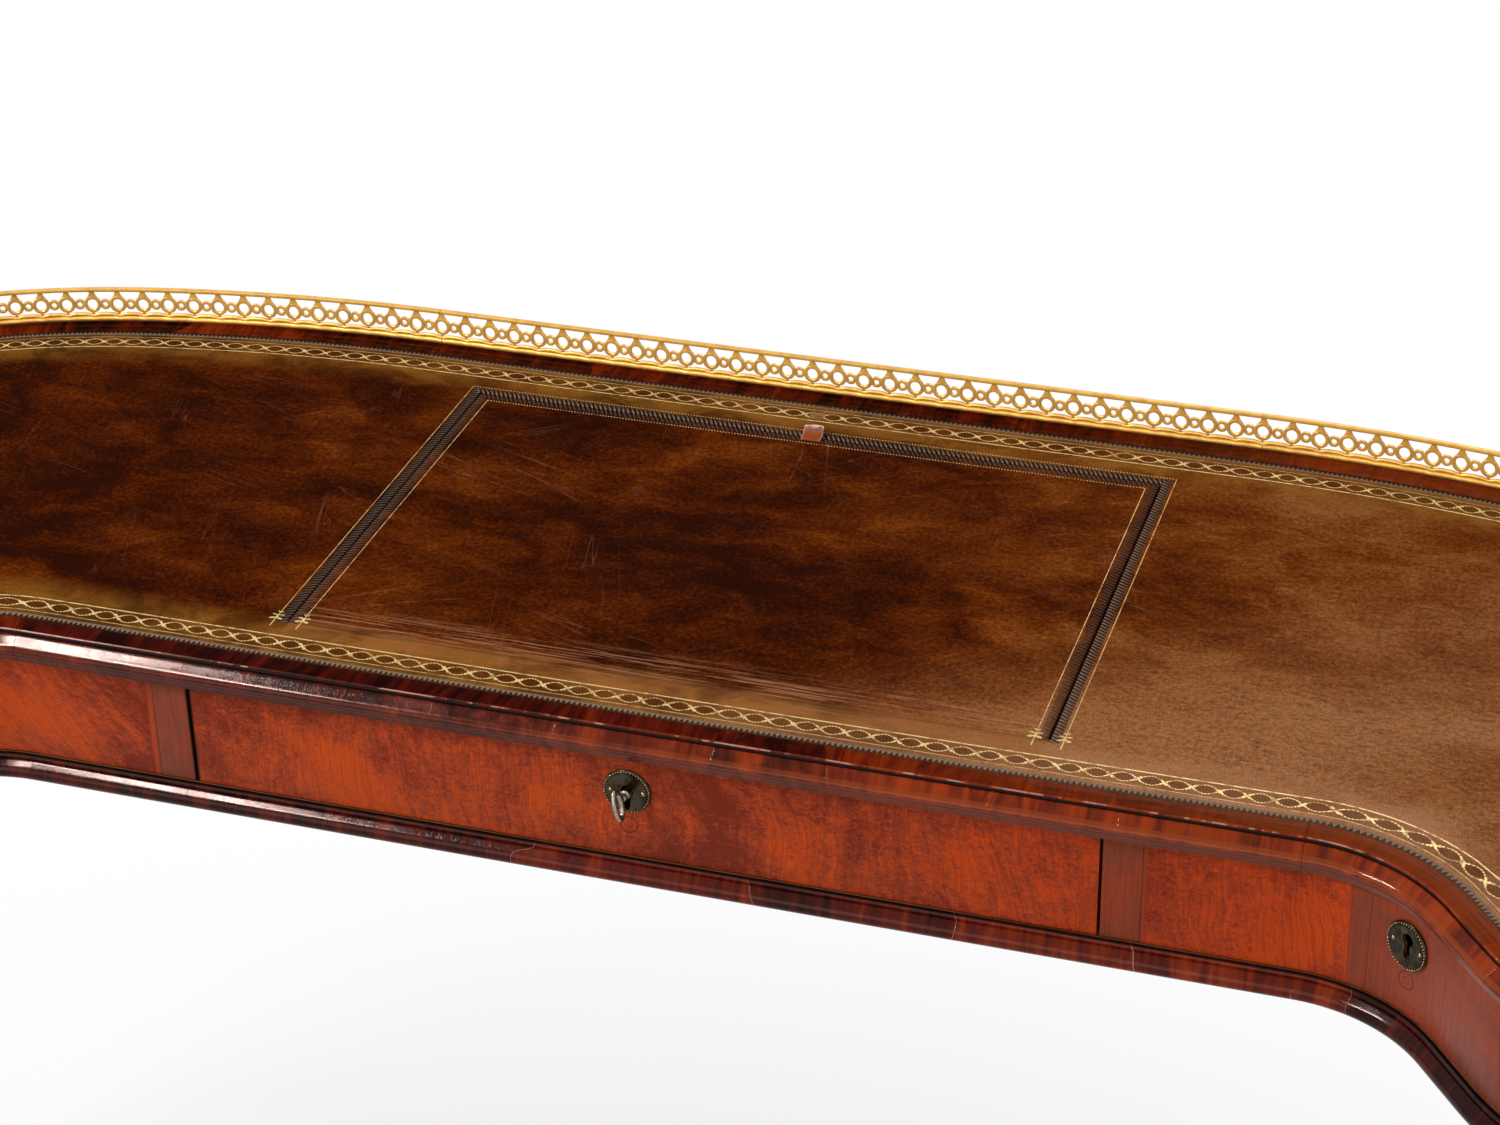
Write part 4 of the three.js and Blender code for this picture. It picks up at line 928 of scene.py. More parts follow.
def hide_colour(n, tone, hide, place, x, y, inset):
    """Colour of the plain hide and how worn it is.

    It is dark in the middle and olive beside the border. It is darker on the left and lighter and greyer
    towards the right-hand front: that change is partly faded hide and partly painted sheen."""
    fine = n.noise(place, 300.0, 5.0, 0.80)
    shade = hide["Clouds"] * 0.34 + hide["Mottle"] * 0.3 + fine * 0.44
    # Darker on the left and lighter on the right: painted sheen that lies on the right-hand side only.
    left = n.smooth(x + y * 0.3, -0.05, -0.42)
    reach = n.root(x * x + y * y * 1.7)
    middle = n.smooth(reach + n.most(x, 0.0) * 0.5, 0.05, 0.24, 1.0, 0.0)
    right = n.smooth(x + y * 0.15, 0.0, 0.36)
    # The right-hand front is paled to tan and grey: partly faded hide, partly painted sheen.
    fade_and_sheen = n.smooth(x * 0.9 - y * 1.3, 0.14, 0.48)
    shade = shade + right * 0.095 - left * 0.046 - middle * 0.062 + fade_and_sheen * 0.06
    base = n.ramp(shade, (0.45, tone.dark), (0.51, tone.deep), (0.57, tone.chestnut), (0.64, tone.amber),
                  (0.74, tone.tan))
    fade_and_sheen = fade_and_sheen * n.smooth(hide["Clouds"], 0.35, 0.62, 0.35, 0.85)
    base = n.mix(fade_and_sheen, base, n.mix(n.smooth(fine, 0.38, 0.62), tone.tan, tone.grey))
    wrinkles = n.noise(n.join(x * 75.0, y * 330.0), 1.0, 4.0, 0.65, 1.0)
    wrinkled = n.smooth(wrinkles, 0.5, 0.66) * (0.08 + right * 0.32)
    base = n.mix(wrinkled, base, tone.deep)
    at_rim = n.smooth(inset, 0.024, 0.055, 1.0, 0.0)
    rim = at_rim * n.smooth(hide["Mottle"], 0.38, 0.62, 0.3, 0.9)
    rim_tone = n.mix(n.smooth(x, -0.1, 0.4) * n.smooth(y, 0.15, -0.05), tone.olive, tone.grey)
    base = n.mix(rim * n.smooth(x, -0.55, -0.05, 0.7, 1.0), base, rim_tone)
    pores = n.smooth(n.noise(place, 1100.0, 1.0, 0.5), 0.54, 0.66)
    base = n.mix(pores * 0.55, base, tone.dark)
    return base, n.most(fade_and_sheen, middle * 0.6)


def slope_tooling(n, size, x, y, hinge_y):
    """Blind teeth on both sides of the slit and a gilt line beyond them.

    Everything is a function of the distance from the slit, which at the corners is the larger of
    the distance past the side and the distance past the rear."""
    teeth_reach, dot_pitch = 6.2 * mm, 2.1 * mm
    from_side = n.size_of(x) - (size.opening_half - size.slit / 2)
    from_rear = y - (hinge_y + size.opening_depth - size.slit / 2)
    beyond = n.most(from_side, from_rear)
    behind_hinge = n.smooth(y, hinge_y - 0.0045, hinge_y - 0.0035)
    outside = n.math("GREATER_THAN", beyond, 0.0)
    zone = n.line(beyond, 0, teeth_reach, 0.0008) * behind_hinge
    on_side = n.math("GREATER_THAN", from_side, from_rear)
    off_side = 1.0 - on_side
    run = on_side * y + off_side * x
    wobble = n.noise(n.join(x * 90.0, y * 90.0), 1.0, 2.0, 0.5)
    slant = run + beyond * 0.55 + wobble * 0.0022
    stroke = n.smooth(n.wave(slant, tooth_pitch), -0.1, 0.7)
    fade = n.smooth(n.size_of(beyond), 0.0010, 0.0060, 1.0, 0.45)
    teeth = stroke * zone * (fade * (outside * 0.5 + 0.5))
    half = 0.00012 + off_side * 0.00022
    rule = n.smooth(n.size_of(n.size_of(beyond) - slit_rule) - half, 0.0, soft_edge, 1.0, 0.0)
    dots = n.smooth(n.wave(run, dot_pitch), -0.1, 0.5)
    broken = on_side + off_side * dots
    past_fleur = n.smooth(y, hinge_y - 0.0005, hinge_y + 0.0005)
    rubbed = n.smooth(n.noise(n.join(x, y), 160.0, 3.0, 0.6), 0.38, 0.56, 0.40, 0.85)
    gilt = rule * broken * (past_fleur * rubbed)
    return zone * (outside * 0.4 + 0.6), teeth, gilt


def border_tooling(n, along, inset, place):
    """Row of blind teeth at the rim, then a guilloche of two strands between two gilt rules.

    A strand is a sine of the distance along the edge, and the other is the same sine turned over.
    Both are rows of fine dots on the ovals and thick leaves where they cross. The ovals are darker
    inside."""
    swing = n.wave(along, strand_pitch)
    uneven = n.noise(n.join(along * 130.0, 0.0), 1.0, 2.0, 0.5)
    centred = inset - (strand_inset + uneven * 0.001)
    leaf_pitch, dot_pitch, saw_reach = 2.4 * mm, 1.9 * mm, 4.6 * mm
    leaf = n.wave(along + centred * 0.6, leaf_pitch)
    near = n.smooth(n.size_of(swing), 0.25, 0.85, 1.0, 0.0)
    dots = n.smooth(n.wave(along, dot_pitch), -0.8, 0.3, 0.30, 1.0)
    strands = []
    for way, extra in ((1, 0.0006), (-1, 0.0012)):
        off = n.size_of(centred - swing * (way * strand_reach))
        thick = strand_half + near * n.smooth(leaf, -0.8, 0.5, 0.3, 1.0) * extra
        strands.append(n.smooth(off - thick, 0.0, strand_half, 1.0, 0.0) * n.most(near, dots))
    inner = n.line(inset, inner_rule, 0.00036, soft_edge)
    outer = n.line(inset, outer_rule, 0.00024, soft_edge) * 0.6
    rubbed = n.smooth(n.noise(place, 190.0, 3.0, 0.6), 0.36, 0.52, 0.35, 0.95)
    gilt = n.most(*strands, inner, outer) * rubbed
    saw = n.math("PINGPONG", along + uneven * 0.0008, tooth_pitch / 2)
    tooth = n.smooth(saw_reach - saw * 2.3 - inset, -0.0004, 0.0004)
    zone = n.line(inset, 0.0024, 0.0024, 0.0008)
    seam = n.line(inset, 0.0, soft_edge, soft_edge)
    oval = n.smooth(n.size_of(centred) - n.size_of(swing) * strand_reach, -0.0008, 0.0, 0.55, 0.0)
    field = n.line(inset, 0.016, 0.007, 0.0006) * 0.25
    return zone, (1.0 - n.most(tooth, seam)) * zone, gilt, n.most(oval, field)


def slope_fleur(n, wide, y, opening, hinge_y):
    """Four small ornaments at the front ends of the slope's gilt lines.

    Folding the distance from the slit twice puts all four on one: each is a tail and two
    pairs of leaves, and a leaf is an ellipse turned away from the stem."""
    u = n.size_of(n.size_of(wide - (opening - 0.001)) - slit_rule)
    v = y - (hinge_y - 0.004)
    total = n.line(u, 0, 0.00028, 0.00028) * n.line(v, 0.0, 0.0055, 0.0005)
    for across, up, long_half, wide_half, tilt in ((0.0024, 0.0036, 0.0022, 0.0010, -0.35),
                                                   (0.0023, 0.0078, 0.0020, 0.0006, 0.15),
                                                   (0.0010, 0.0114, 0.0012, 0.0005, 0.70),
                                                   (0.0, 0.0052, 0.0009, 0.0022, 0.0)):
        du = u - across
        dv = v - up
        c, s = math.cos(tilt), math.sin(tilt)
        a = du * (c / long_half) + dv * (s / long_half)
        b = du * (-s / wide_half) + dv * (c / wide_half)
        total = n.most(total, n.smooth(a * a + b * b, 0.7, 1.4, 1.0, 0.0))
    return total


def worn_tab(name):
    """Undyed strap leather, pale and rubbed towards the free end and the sides."""
    tone = bpy.context.scene.leather_finish
    material, n, shader = surface_material(name, Specular_IOR_Level=0.1)
    place = object_place(n)
    across, along, _ = n.split(surface_place(n))
    hide = n.group("Hide grain", {"Vector": place})
    patches = n.group("Blotches", {"Vector": place, "Scale": 260.0})
    near_end = n.smooth(along + (patches["Clouds"] - 0.5) * 0.2, 0.74, 0.92)
    near_side = n.smooth(n.size_of(across), 0.86, 0.98, 0.0, 0.5)
    upper = n.smooth(along + (patches["Clouds"] - 0.5) * 0.35, 0.35, 0.75, 0.0, 0.8)
    base = n.mix(upper, tone.tab, tone.tab_upper)
    base = n.mix(n.most(near_end, near_side), base, tone.tab_worn)
    base = n.mix(patches["Specks"] * 0.5, base, tone.deep)
    roughness = n.smooth(patches["Clouds"], 0.0, 1.0, 0.5, 0.7)
    return finished(material, n, shader, base, roughness, hide["Pebble"], 0.5, 0.3 * mm)


def figured_veneer(name):
    """Frieze veneer: soft patches and fine upright grain, straight and brown beside the drawer gaps."""
    tone = bpy.context.scene.wood_finish
    size = bpy.context.scene.table_sizes
    outline = outline_property()
    material, n, shader = surface_material(name, Specular_IOR_Level=0.12,
                                           Specular_Tint=(*tone.veneer_glint, 1))
    along, up, _ = n.split(surface_place(n))
    wide = n.size_of(along)
    drift = n.noise(n.join(along * 4.0, up * 6.0), 1.0, 3.0, 0.5, 0.5)
    plain_end = outline.start["cove"] + 0.030
    strips = n.most(n.line(wide, size.drawer_half + 0.013, 0.012, 0.002),
                    n.smooth(wide, plain_end - 0.003, plain_end + 0.003))
    left_of_gap = n.smooth(along, -size.drawer_half - 0.024, -size.drawer_half - 0.030)
    fan = left_of_gap * (up * 0.55)
    lean = (up * 0.1 + fan + drift * 0.05) * (1.0 - strips)
    leaning = along + lean
    grain = n.group("Wood grain", {"Vector": n.join(up, leaning, drift * 0.03), "Figure Scale": 0.8})
    patch = n.noise(n.join(leaning * 11.0, up * 16.0, 3.7), 1.0, 4.0, 0.55, 0.5)
    curl = n.noise(n.join(leaning * 230.0, up * 420.0, drift * 9.0), 1.0, 3.0, 0.6, 1.2)
    flames = n.noise(n.join(leaning * 60.0, up * 16.0, drift * 3.0), 1.0, 5.0, 0.7, 2.2)
    tint = patch * 0.38 + flames * 0.22 + grain["Figure"] * 0.12 + curl * 0.28
    tint = tint + n.smooth(along, -0.3, -0.4, 0.0, 0.035)
    base = n.ramp(tint, (0.43, tone.veneer_dark), (0.5, tone.veneer), (0.56, tone.veneer_flame))
    # Brown strips beside the gaps, with their purplish cast as painted sheen.
    brown = strips * n.smooth(patch, 0.38, 0.62, 1.0, 0.7)
    base = n.mix(brown, base, tone.veneer_brown)
    lines = n.noise(n.join(up * 16.0, leaning * 700.0), 1.0, 3.0, 0.6, 0.4)
    base = n.mix(n.smooth(lines, 0.46, 0.62, 0.0, 0.36), base, tone.veneer_dark)
    # Redder towards the right: painted, for the sheen that greys the left of the front.
    redder = n.smooth(along + (patch - 0.5) * 0.5, 0.05, 0.34, 0.0, 0.35)
    base = n.mix(redder, base, n.mix(1.0, base, tone.veneer_red, "MULTIPLY"))
    base = n.mix(grain["Pores"] * 0.35, base, tone.veneer_dark)
    seam_width = 0.00006 + n.smooth(curl, 0.45, 0.6) * 0.00016
    seams = []
    for place, strength in ((size.drawer_half + 0.0245, 0.8), (plain_end, 0.5), (plain_end + 0.012, 0.7)):
        off = n.size_of(wide - place) - seam_width
        seams.append(n.smooth(off, 0.0, 0.0003, 1.0, 0.0) * strength)
    seam = n.most(*seams)
    plug, halo = lock_plug(n, size, outline, along, up)
    base = n.mix(halo * 0.3, base, tone.veneer_dark)
    # Painted shade: a dark band along the left drawer gap widens its line. The seams and the plug are dark
    # joints.
    gap = n.line(along, -size.drawer_half, 0.0016, 0.0008) * 0.85
    base = n.mix(n.most(seam * 0.8, gap, plug * 0.6), base, tone.wax)
    roughness = n.smooth(grain["Streaks"], 0.3, 0.7, 0.20, 0.32)
    height = grain["Streaks"] * 0.1 - (grain["Pores"] * 0.25 + n.most(plug, seam))
    return finished(material, n, shader, base, roughness, height, 0.25)


def lock_plug(n, size, outline, along, up):
    """Joint round the filled plug under each keyhole plate, and a faint wider ring rubbed round it."""
    lock_up = size.height - size.edge_height - size.keyhole_drop
    far = float(lock_along(size, outline, 1))
    near = n.math("MINIMUM", n.size_of(along), n.size_of(n.size_of(along) - far))
    drop = up - (lock_up - 0.0245)
    reach = n.root(near * near + drop * drop)
    dark = n.most(n.line(reach, 0.0056, 0.00014, 0.0005), n.line(reach, 0.0024, 0.0001, 0.0003) * 0.6)
    return dark, n.line(reach, 0.0165, 0.0004, 0.0012)


def flat_banding(name):
    """Crossbanding round the leather, darker towards the left."""
    tone = bpy.context.scene.wood_finish
    material, n, shader = surface_material(name, Specular_IOR_Level=0.008)
    grain, base, marks, across, joint = banded_wood(n, 0.085, 0.0)
    x, _, _ = n.split(object_place(n))
    lit = n.smooth(x + (marks["Clouds"] - 0.5) * 0.4, 0.0, 0.6)
    base = n.mix(lit * n.smooth(grain["Streaks"], 0.4, 0.62, 0.1, 0.6), base, tone.band_light)
    drawn = n.noise(n.join(x * 30.0, across * 900.0), 1.0, 3.0, 0.6, 0.5)
    base = n.mix(n.smooth(x, 0.1, 0.45) * n.smooth(drawn, 0.35, 0.6, 0.35, 0.85), base, tone.fillet)
    return finished_banding(material, n, shader, grain, base, marks, joint)


def cross_banding(name):
    """Crossbanded edge of the top, in zones down its profile.

    The second face coordinate is the distance down the profile from the arris: a pale arris that is wear
    and, mostly on the left, a painted highlight; a quirk darkened by old wax and painted shade; mottled
    thumb with an ochre nose; and a cavetto whose purple is a painted reflection."""
    tone = bpy.context.scene.wood_finish
    material, n, shader = surface_material(name, Specular_IOR_Level=0.17,
                                           Specular_Tint=(*tone.band_glint, 1))
    grain, base, marks, across, joint = banded_wood(n, 0.085, 0.0)
    x, _, _ = n.split(object_place(n))
    lit = n.smooth(x + (marks["Clouds"] - 0.5) * 0.25, -0.25, 0.3)
    glow = lit * n.smooth(grain["Figure"], 0.35, 0.65, 0.15, 0.85)
    base = n.mix(glow, base, tone.band_light)
    nose = n.line(across, 0.0146, 0.0012, 0.001) * (0.15 + lit * 0.55)
    base = n.mix(nose, base, tone.fillet)
    # Painted reflection: the cavetto takes a purplish colour for the floor it reflects.
    below = n.smooth(across, 0.0168, 0.018) * (0.3 + lit * 0.6)
    base = n.mix(below, base, tone.cavetto)
    rough_edge = n.noise(n.scaled(surface_place(n), (260.0, 1100.0, 1.0)), 1.0, 3.0, 0.6)
    # Painted shade with old wax in it: the quirk under the arris is darkened near black.
    quirk = n.line(across, 0.0034, 0.0014, 0.0006) * n.smooth(rough_edge, 0.28, 0.4)
    base = n.mix(quirk, base, tone.wax)
    # Pale arris line, strongest on the left: worn polish together with a painted highlight.
    kept = n.most(n.smooth(x, -0.25, -0.40), n.smooth(marks["Clouds"], 0.45, 0.80, 0.0, 0.7))
    arris = n.line(across, 0.0009, 0.0003, 0.0003) * (kept * n.smooth(rough_edge, 0.34, 0.46, 0.35, 0.9))
    base = n.mix(arris * 0.85, base, tone.wear)
    rubbed = n.line(across, 0.0006, 0.0011, 0.0004) * (1.0 - kept)
    return finished_banding(material, n, shader, grain, base, marks, joint, rubbed)


def lower_banding(name):
    """Cross-grained half round under the frieze, in longer lengths, with pale old glue in some joints."""
    tone = bpy.context.scene.wood_finish
    material, n, shader = surface_material(name, Specular_IOR_Level=0.17,
                                           Specular_Tint=(*tone.band_glint, 1))
    grain, base, marks, across, joint = banded_wood(n, 0.125, 0.6)
    # Painted shadow: a near-black line along the top of the moulding, under the frieze.
    shadow = n.line(across, 0.0016, 0.0012, 0.0006)
    base = n.mix(shadow * 0.85, base, tone.wax)
    return finished_banding(material, n, shader, grain, base, marks, joint)


def banded_wood(n, segment, pale):
    """Cross-grained wood laid in lengths: each length has its own tone and a fine joint at each end."""
    tone = bpy.context.scene.wood_finish
    along, across, _ = n.split(surface_place(n))
    wander = n.noise(n.join(along * 11.0, across * 12.0), 1.0, 2.0, 0.5, 0.3)
    laid = n.math("DIVIDE", along + wander * (segment * 0.9), segment)
    cells = n.math("FLOOR", laid)
    grain_space = n.join(across + cells * 0.37, along + wander * 0.012, cells)
    grain = n.group("Wood grain", {"Vector": grain_space, "Figure Scale": 2.4})
    cell_tone = n.made("ShaderNodeTexWhiteNoise", {"W": cells}, noise_dimensions="1D")
    marks = n.group("Blotches", {"Vector": object_place(n), "Scale": 60.0})
    tint = grain["Figure"] * 0.56 + grain["Streaks"] * 0.26 + cell_tone * 0.18
    base = n.ramp(tint, (0.38, tone.band_dark), (0.52, tone.band), (0.76, tone.band_light))
    base = n.mix(grain["Pores"] * 0.4, base, tone.band_dark)
    phase = n.math("FRACT", laid)
    joint = n.line(0.5 - n.size_of(phase - 0.5), 0, 0.0012, 0.0022)
    glue = n.mix(n.math("GREATER_THAN", cell_tone, 0.55) * pale, tone.wax, tone.wear)
    base = n.mix(joint * 0.8, base, glue)
    return grain, base, marks, across, joint


def finished_banding(material, n, shader, grain, base, marks, joint, rubbed=0.0):
    """The material with the polish and relief that the mouldings share; rubbed places are duller."""
    polish = n.smooth(marks["Clouds"], 0.0, 1.0, 0.09, 0.15) + rubbed * 0.5
    height = grain["Streaks"] * 0.04 - (grain["Pores"] * 0.1 + joint * 0.8) - marks["Specks"] * 0.15
    return finished(material, n, shader, base, polish, height, 0.25)


# dark tone, light tone, axis of the fibres, gloss and roughness
plain_woods = {
    "leg_wood": ("band_dark", "veneer", "Z", 0.35, 0.26),
    "slope_wood": ("veneer_dark", "veneer", "X", 0.3, 0.34),
    "carcase_timber": ("carcase_dark", "carcase", "X", 0.3, 0.62),
    "drawer_timber": ("lining_dark", "lining", "X", 0.3, 0.55),
}
# bright tone, dull tone, tarnish, roughness when clean and when dull, scale of the clouds, conduction
metals = {
    "bright_brass": ("brass", "brass_dark", 0.50, 0.34, 0.48, 90.0, 0.40),
    "dark_bronze": ("bronze", "bronze_dark", 0.9, 0.24, 0.42, 160.0, 1.0),
    "rubbed_bronze": ("rubbed", "bronze", 0.7, 0.26, 0.4, 300.0, 1.0),
    "polished_steel": ("steel", "iron_dark", 0.55, 0.24, 0.4, 220.0, 1.0),
    "forged_iron": ("iron", "iron_dark", 0.8, 0.30, 0.5, 200.0, 1.0),
}


def plain_wood(name):
    """Straight-grained wood in the object's own space."""
    dark, light, axis, gloss, rough = plain_woods[name]
    tone = bpy.context.scene.wood_finish
    dark, light = getattr(tone, dark), getattr(tone, light)
    material, n, shader = surface_material(name, Specular_IOR_Level=gloss)
    x, y, z = n.split(object_place(n))
    order = {"X": (x, y, z), "Z": (z, x, y)}[axis]
    grain = n.group("Wood grain", {"Vector": n.join(*order), "Figure Scale": 1.0})
    tint = grain["Figure"] * 0.6 + grain["Streaks"] * 0.4
    base = n.mix(n.smooth(tint, 0.35, 0.65), dark, light)
    base = n.mix(grain["Pores"] * 0.45, base, dark)
    roughness = n.smooth(grain["Streaks"], 0.3, 0.7, rough - 0.06, rough + 0.06)
    return finished(material, n, shader, base, roughness, grain["Streaks"] - grain["Pores"], 0.3)


def metal(name):
    """Metal with clouds of tarnish and fine scratches; conduction below one is aged lacquer over it."""
    bright, dull, amount, low, high, cloud_scale, conduction = metals[name]
    tone = bpy.context.scene.metal_finish
    material, n, shader = surface_material(name, Metallic=conduction)
    place = object_place(n)
    marks = n.group("Blotches", {"Vector": place, "Scale": cloud_scale})
    scratches = n.group("Fine scratches", {"Vector": n.scaled(place, (6, 6, 6)), "Amount": 0.7})["Mask"]
    dirt = n.most(marks["Clouds"], marks["Specks"] * 0.7) * amount
    base = n.mix(dirt, getattr(tone, bright), getattr(tone, dull))
    roughness = n.smooth(dirt, 0.0, 1.0, low, high) + scratches * 0.1
    return finished(material, n, shader, base, roughness, marks["Clouds"] - scratches, 0.15)


def keyhole_shadow(name):
    """Painted shadow inside the keyholes: near black, with grime in it."""
    scene = bpy.context.scene
    material, n, shader = surface_material(name, Specular_IOR_Level=0.0, Roughness=0.9)
    grime = n.noise(object_place(n), 900.0, 2.0)
    base = n.mix(grime * 0.4, scene.metal_finish.hollow, scene.wood_finish.wax)
    n.put(shader.inputs["Base Color"], base)
    return material


class TABLE_OT_leather(bpy.types.Operator):
    """Leather top, the slope's leather and the strip over the hinge"""
    bl_idname = "reading_table.leather"
    bl_label = "Leather"

    def execute(self, context):
        size = context.scene.table_sizes
        outline = outline_property()
        hide = once(tooled_hide)
        field = leather_field(size, outline, hide)
        placed(field, "root", "leather", "leather_field")
        hinge_y = outline.front_y + size.hinge_setback
        front, rear = hinge_y + size.knuckle_gap, hinge_y + size.opening_depth - size.slit
        half = size.opening_half - size.slit
        slope = leather_sheet("slope_hide", (-half, half), (front, rear), size, hide, (90, 60))
        placed(slope, "slope", "leather", "slope_leather")
        fold_front = hinge_y - size.knuckle_gap
        strip = leather_sheet("hinge_fold", (-half, half), (fold_front, front), size, hide, (90, 8),
                              crown=0.00015)
        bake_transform(strip)
        return {"FINISHED"}


def leather_swell(x, y):
    """Small undulation of the hide in metres: a broad and a fine pair of crossing sines."""
    broad = np.sin(31 * x + 17 * y) * np.sin(23 * y - 9 * x)
    fine = 0.6 * np.sin(71 * x) * np.sin(57 * y)
    return 0.00009 * (broad + fine)


def leather_sheet(name, xs, ys, size, material, steps, crown=0.0):
    """Flat hide between two x and two y, with a crown that is highest halfway between the two y."""
    x, y = np.meshgrid(np.linspace(*xs, steps[0]), np.linspace(*ys, steps[1]), indexing="ij")
    rise = np.sin(math.pi * (y - ys[0]) / (ys[1] - ys[0]))
    z = size.height + np.minimum(leather_swell(x, y), 0.0) + crown * rise
    shell = Shell()
    inset_past_border = 0.2
    shell.grid(stacked(x, y, z), stacked(x, inset_past_border), flip=True)
    return thickened(shell.make(name, [material]), size.leather_depth)


def thickened(sheet, depth):
    """The sheet with a thickness below the side that its faces point to."""
    thick = sheet.modifiers.new("Thickness", "SOLIDIFY")
    thick.thickness = depth
    thick.offset = -1
    return sheet


def leather_field(size, outline, material):
    """Hide between the crossbanding and the slope's opening.

    Columns run from front to back at stations of the outline, and rows are shares of a column's
    length. The left half mirrors the right one."""
    edge_s = np.linspace(0, outline.length, 2400)
    x, y, nx, ny, heading = outline.at(edge_s)
    band = outline.banding(heading) + size.seat_gap
    edge = stacked(x - nx * band, y - ny * band)
    normal = stacked(nx, ny)
    widest = int(np.argmax(edge[:, 0]))
    front, back = edge[:widest + 1], edge[widest:][::-1]
    curved = outline.stations(size.straight_half, edge_s[widest])
    straight = np.concatenate([np.linspace(0, size.opening_half, 26),
                               np.linspace(size.opening_half, size.straight_half, 16)[1:-1]])
    curve_x = np.interp(curved, edge_s, edge[:, 0])
    columns = np.unique(np.round(np.concatenate([straight, curve_x]), 6))
    columns = columns[columns < front[-1, 0] - 2e-5]
    columns = np.concatenate([columns, [front[-1, 0] - 1e-5]])
    low = np.interp(columns, front[:, 0], front[:, 1])
    high = np.interp(columns, back[:, 0], back[:, 1])
    hinge_y = outline.front_y + size.hinge_setback
    hole = [(level - low[0]) / (high[0] - low[0])
            for level in (hinge_y - size.knuckle_gap, hinge_y + size.opening_depth)]
    rows = np.unique(np.concatenate([np.linspace(0, hole[0], 12), np.linspace(*hole, 74),
                                     np.linspace(hole[1], 1, 12)]))
    y_grid = low[:, None] + (high - low)[:, None] * rows
    x_grid = np.repeat(columns[:, None], len(rows), 1)
    uv = np.stack([edge_coordinates(column, edge_s, edge, normal) for column in stacked(x_grid, y_grid)])
    mirror = slice(None, 0, -1)
    x_all = np.concatenate([-x_grid[mirror], x_grid])
    y_all = np.concatenate([y_grid[mirror], y_grid])
    uv_all = np.concatenate([uv[mirror] * (-1, 1), uv])
    z_all = size.height + np.minimum(leather_swell(x_all, y_all), 0)
    shell = Shell()
    points = stacked(x_all, y_all, z_all)
    inside = np.abs(x_all[:, 0]) < size.opening_half + 1e-6
    first, last = int(np.argmax(inside)), len(inside) - 1 - int(np.argmax(inside[::-1]))
    row_0, row_1 = (int(np.argmin(np.abs(rows - h))) for h in hole)
    pieces = ((slice(0, first + 1), slice(None)), (slice(first, last + 1), slice(0, row_0 + 1)),
              (slice(first, last + 1), slice(row_1, None)), (slice(last, None), slice(None)))
    for block in pieces:
        shell.grid(points[block], uv_all[block], flip=True)
    return thickened(shell.make("leather_top", [material], merge=True), size.leather_depth)


def edge_coordinates(points, edge_s, edge, normal):
    """Distance along the leather's edge and inset from it.

    They are those of the nearest sample of the edge, plus the way from it to the point measured
    along the edge's tangent and against its normal there."""
    away = points[:, None] - edge[None]
    nearest = np.argmin((away ** 2).sum(-1), 1)
    offset = away[np.arange(len(points)), nearest]
    outward = normal[nearest]
    tangent = stacked(-outward[:, 1], outward[:, 0])
    along = edge_s[nearest] + (offset * tangent).sum(-1)
    return stacked(along, -(offset * outward).sum(-1))


class TABLE_OT_pull_tab(bpy.types.Operator):
    """Curled leather tab that lifts the slope"""
    bl_idname = "reading_table.pull_tab"
    bl_label = "Pull tab"

    def execute(self, context):
        size = context.scene.table_sizes
        half_wide, depth, off_middle, past_slit = 6.9 * mm, 1.3 * mm, 1.2 * mm, 1.2 * mm
        rear = outline_property().front_y + size.hinge_setback + size.opening_depth
        side_line = rounded([(-0.0085, 0.0), (-0.0055, 0.0), (-0.0028, 0.0003), (-0.0008, 0.0014),
                             (0.0007, 0.0030), (0.0017, 0.0044), (0.0030, 0.0054)], 4)
        t = np.linspace(0, 1, len(side_line))[:, None]
        u = np.linspace(-1, 1, 21)[None]
        free_end = np.clip((t - 0.86) / 0.14, 0, 1)
        sewn_end = np.clip((0.2 - t) / 0.2, 0, 1)
        narrow = 1 - 0.07 * free_end ** 2 - 0.05 * sewn_end ** 2
        x = off_middle + half_wide * u * narrow
        y = rear + past_slit + side_line[:, :1] + 0.0006 * u * t ** 2
        wavy = 1 + 0.07 * np.sin(2.6 * u + 1)
        z = size.height + size.seat_gap + depth + side_line[:, 1:] * wavy
        shell = Shell()
        shell.grid(stacked(x, y, z), stacked(u, t), flip=False)
        tab = thickened(shell.make("lifting_tab", [once(worn_tab)]), depth)
        placed(tab, "tab", "tab_leather", "pull_tab")
        return {"FINISHED"}


class TABLE_OT_top_edge(bpy.types.Operator):
    """Crossbanded and moulded edge of the top, in four lengths"""
    bl_idname = "reading_table.top_edge"
    bl_label = "Top edge"

    def execute(self, context):
        size = context.scene.table_sizes
        outline = outline_property()
        for name, along in four_lengths(size, outline):
            moulded(f"edge_{name}", outline, along,
                    lambda heading: edge_profile(size, outline.banding(heading)), size.height, "root",
                    [once(cross_banding), once(flat_banding)], "mahogany", [f"top_edge_{name}"],
                    zero_column=2)
        return {"FINISHED"}


def four_lengths(size, outline):
    """The mouldings' four lengths: front, back, left and right."""
    half_gap = size.seat_gap / 2
    front_end = outline.start["cove"] - half_gap
    back_end = outline.start["back"] + half_gap
    right = outline.stations(front_end + size.seat_gap, back_end - size.seat_gap)
    back = outline.stations(back_end, outline.length - 1e-6)
    return (("front", outline.through_middle(front_end)), ("right", right), ("left", -right[::-1]),
            ("back", np.concatenate([back, 2 * outline.length - back[::-1]])))


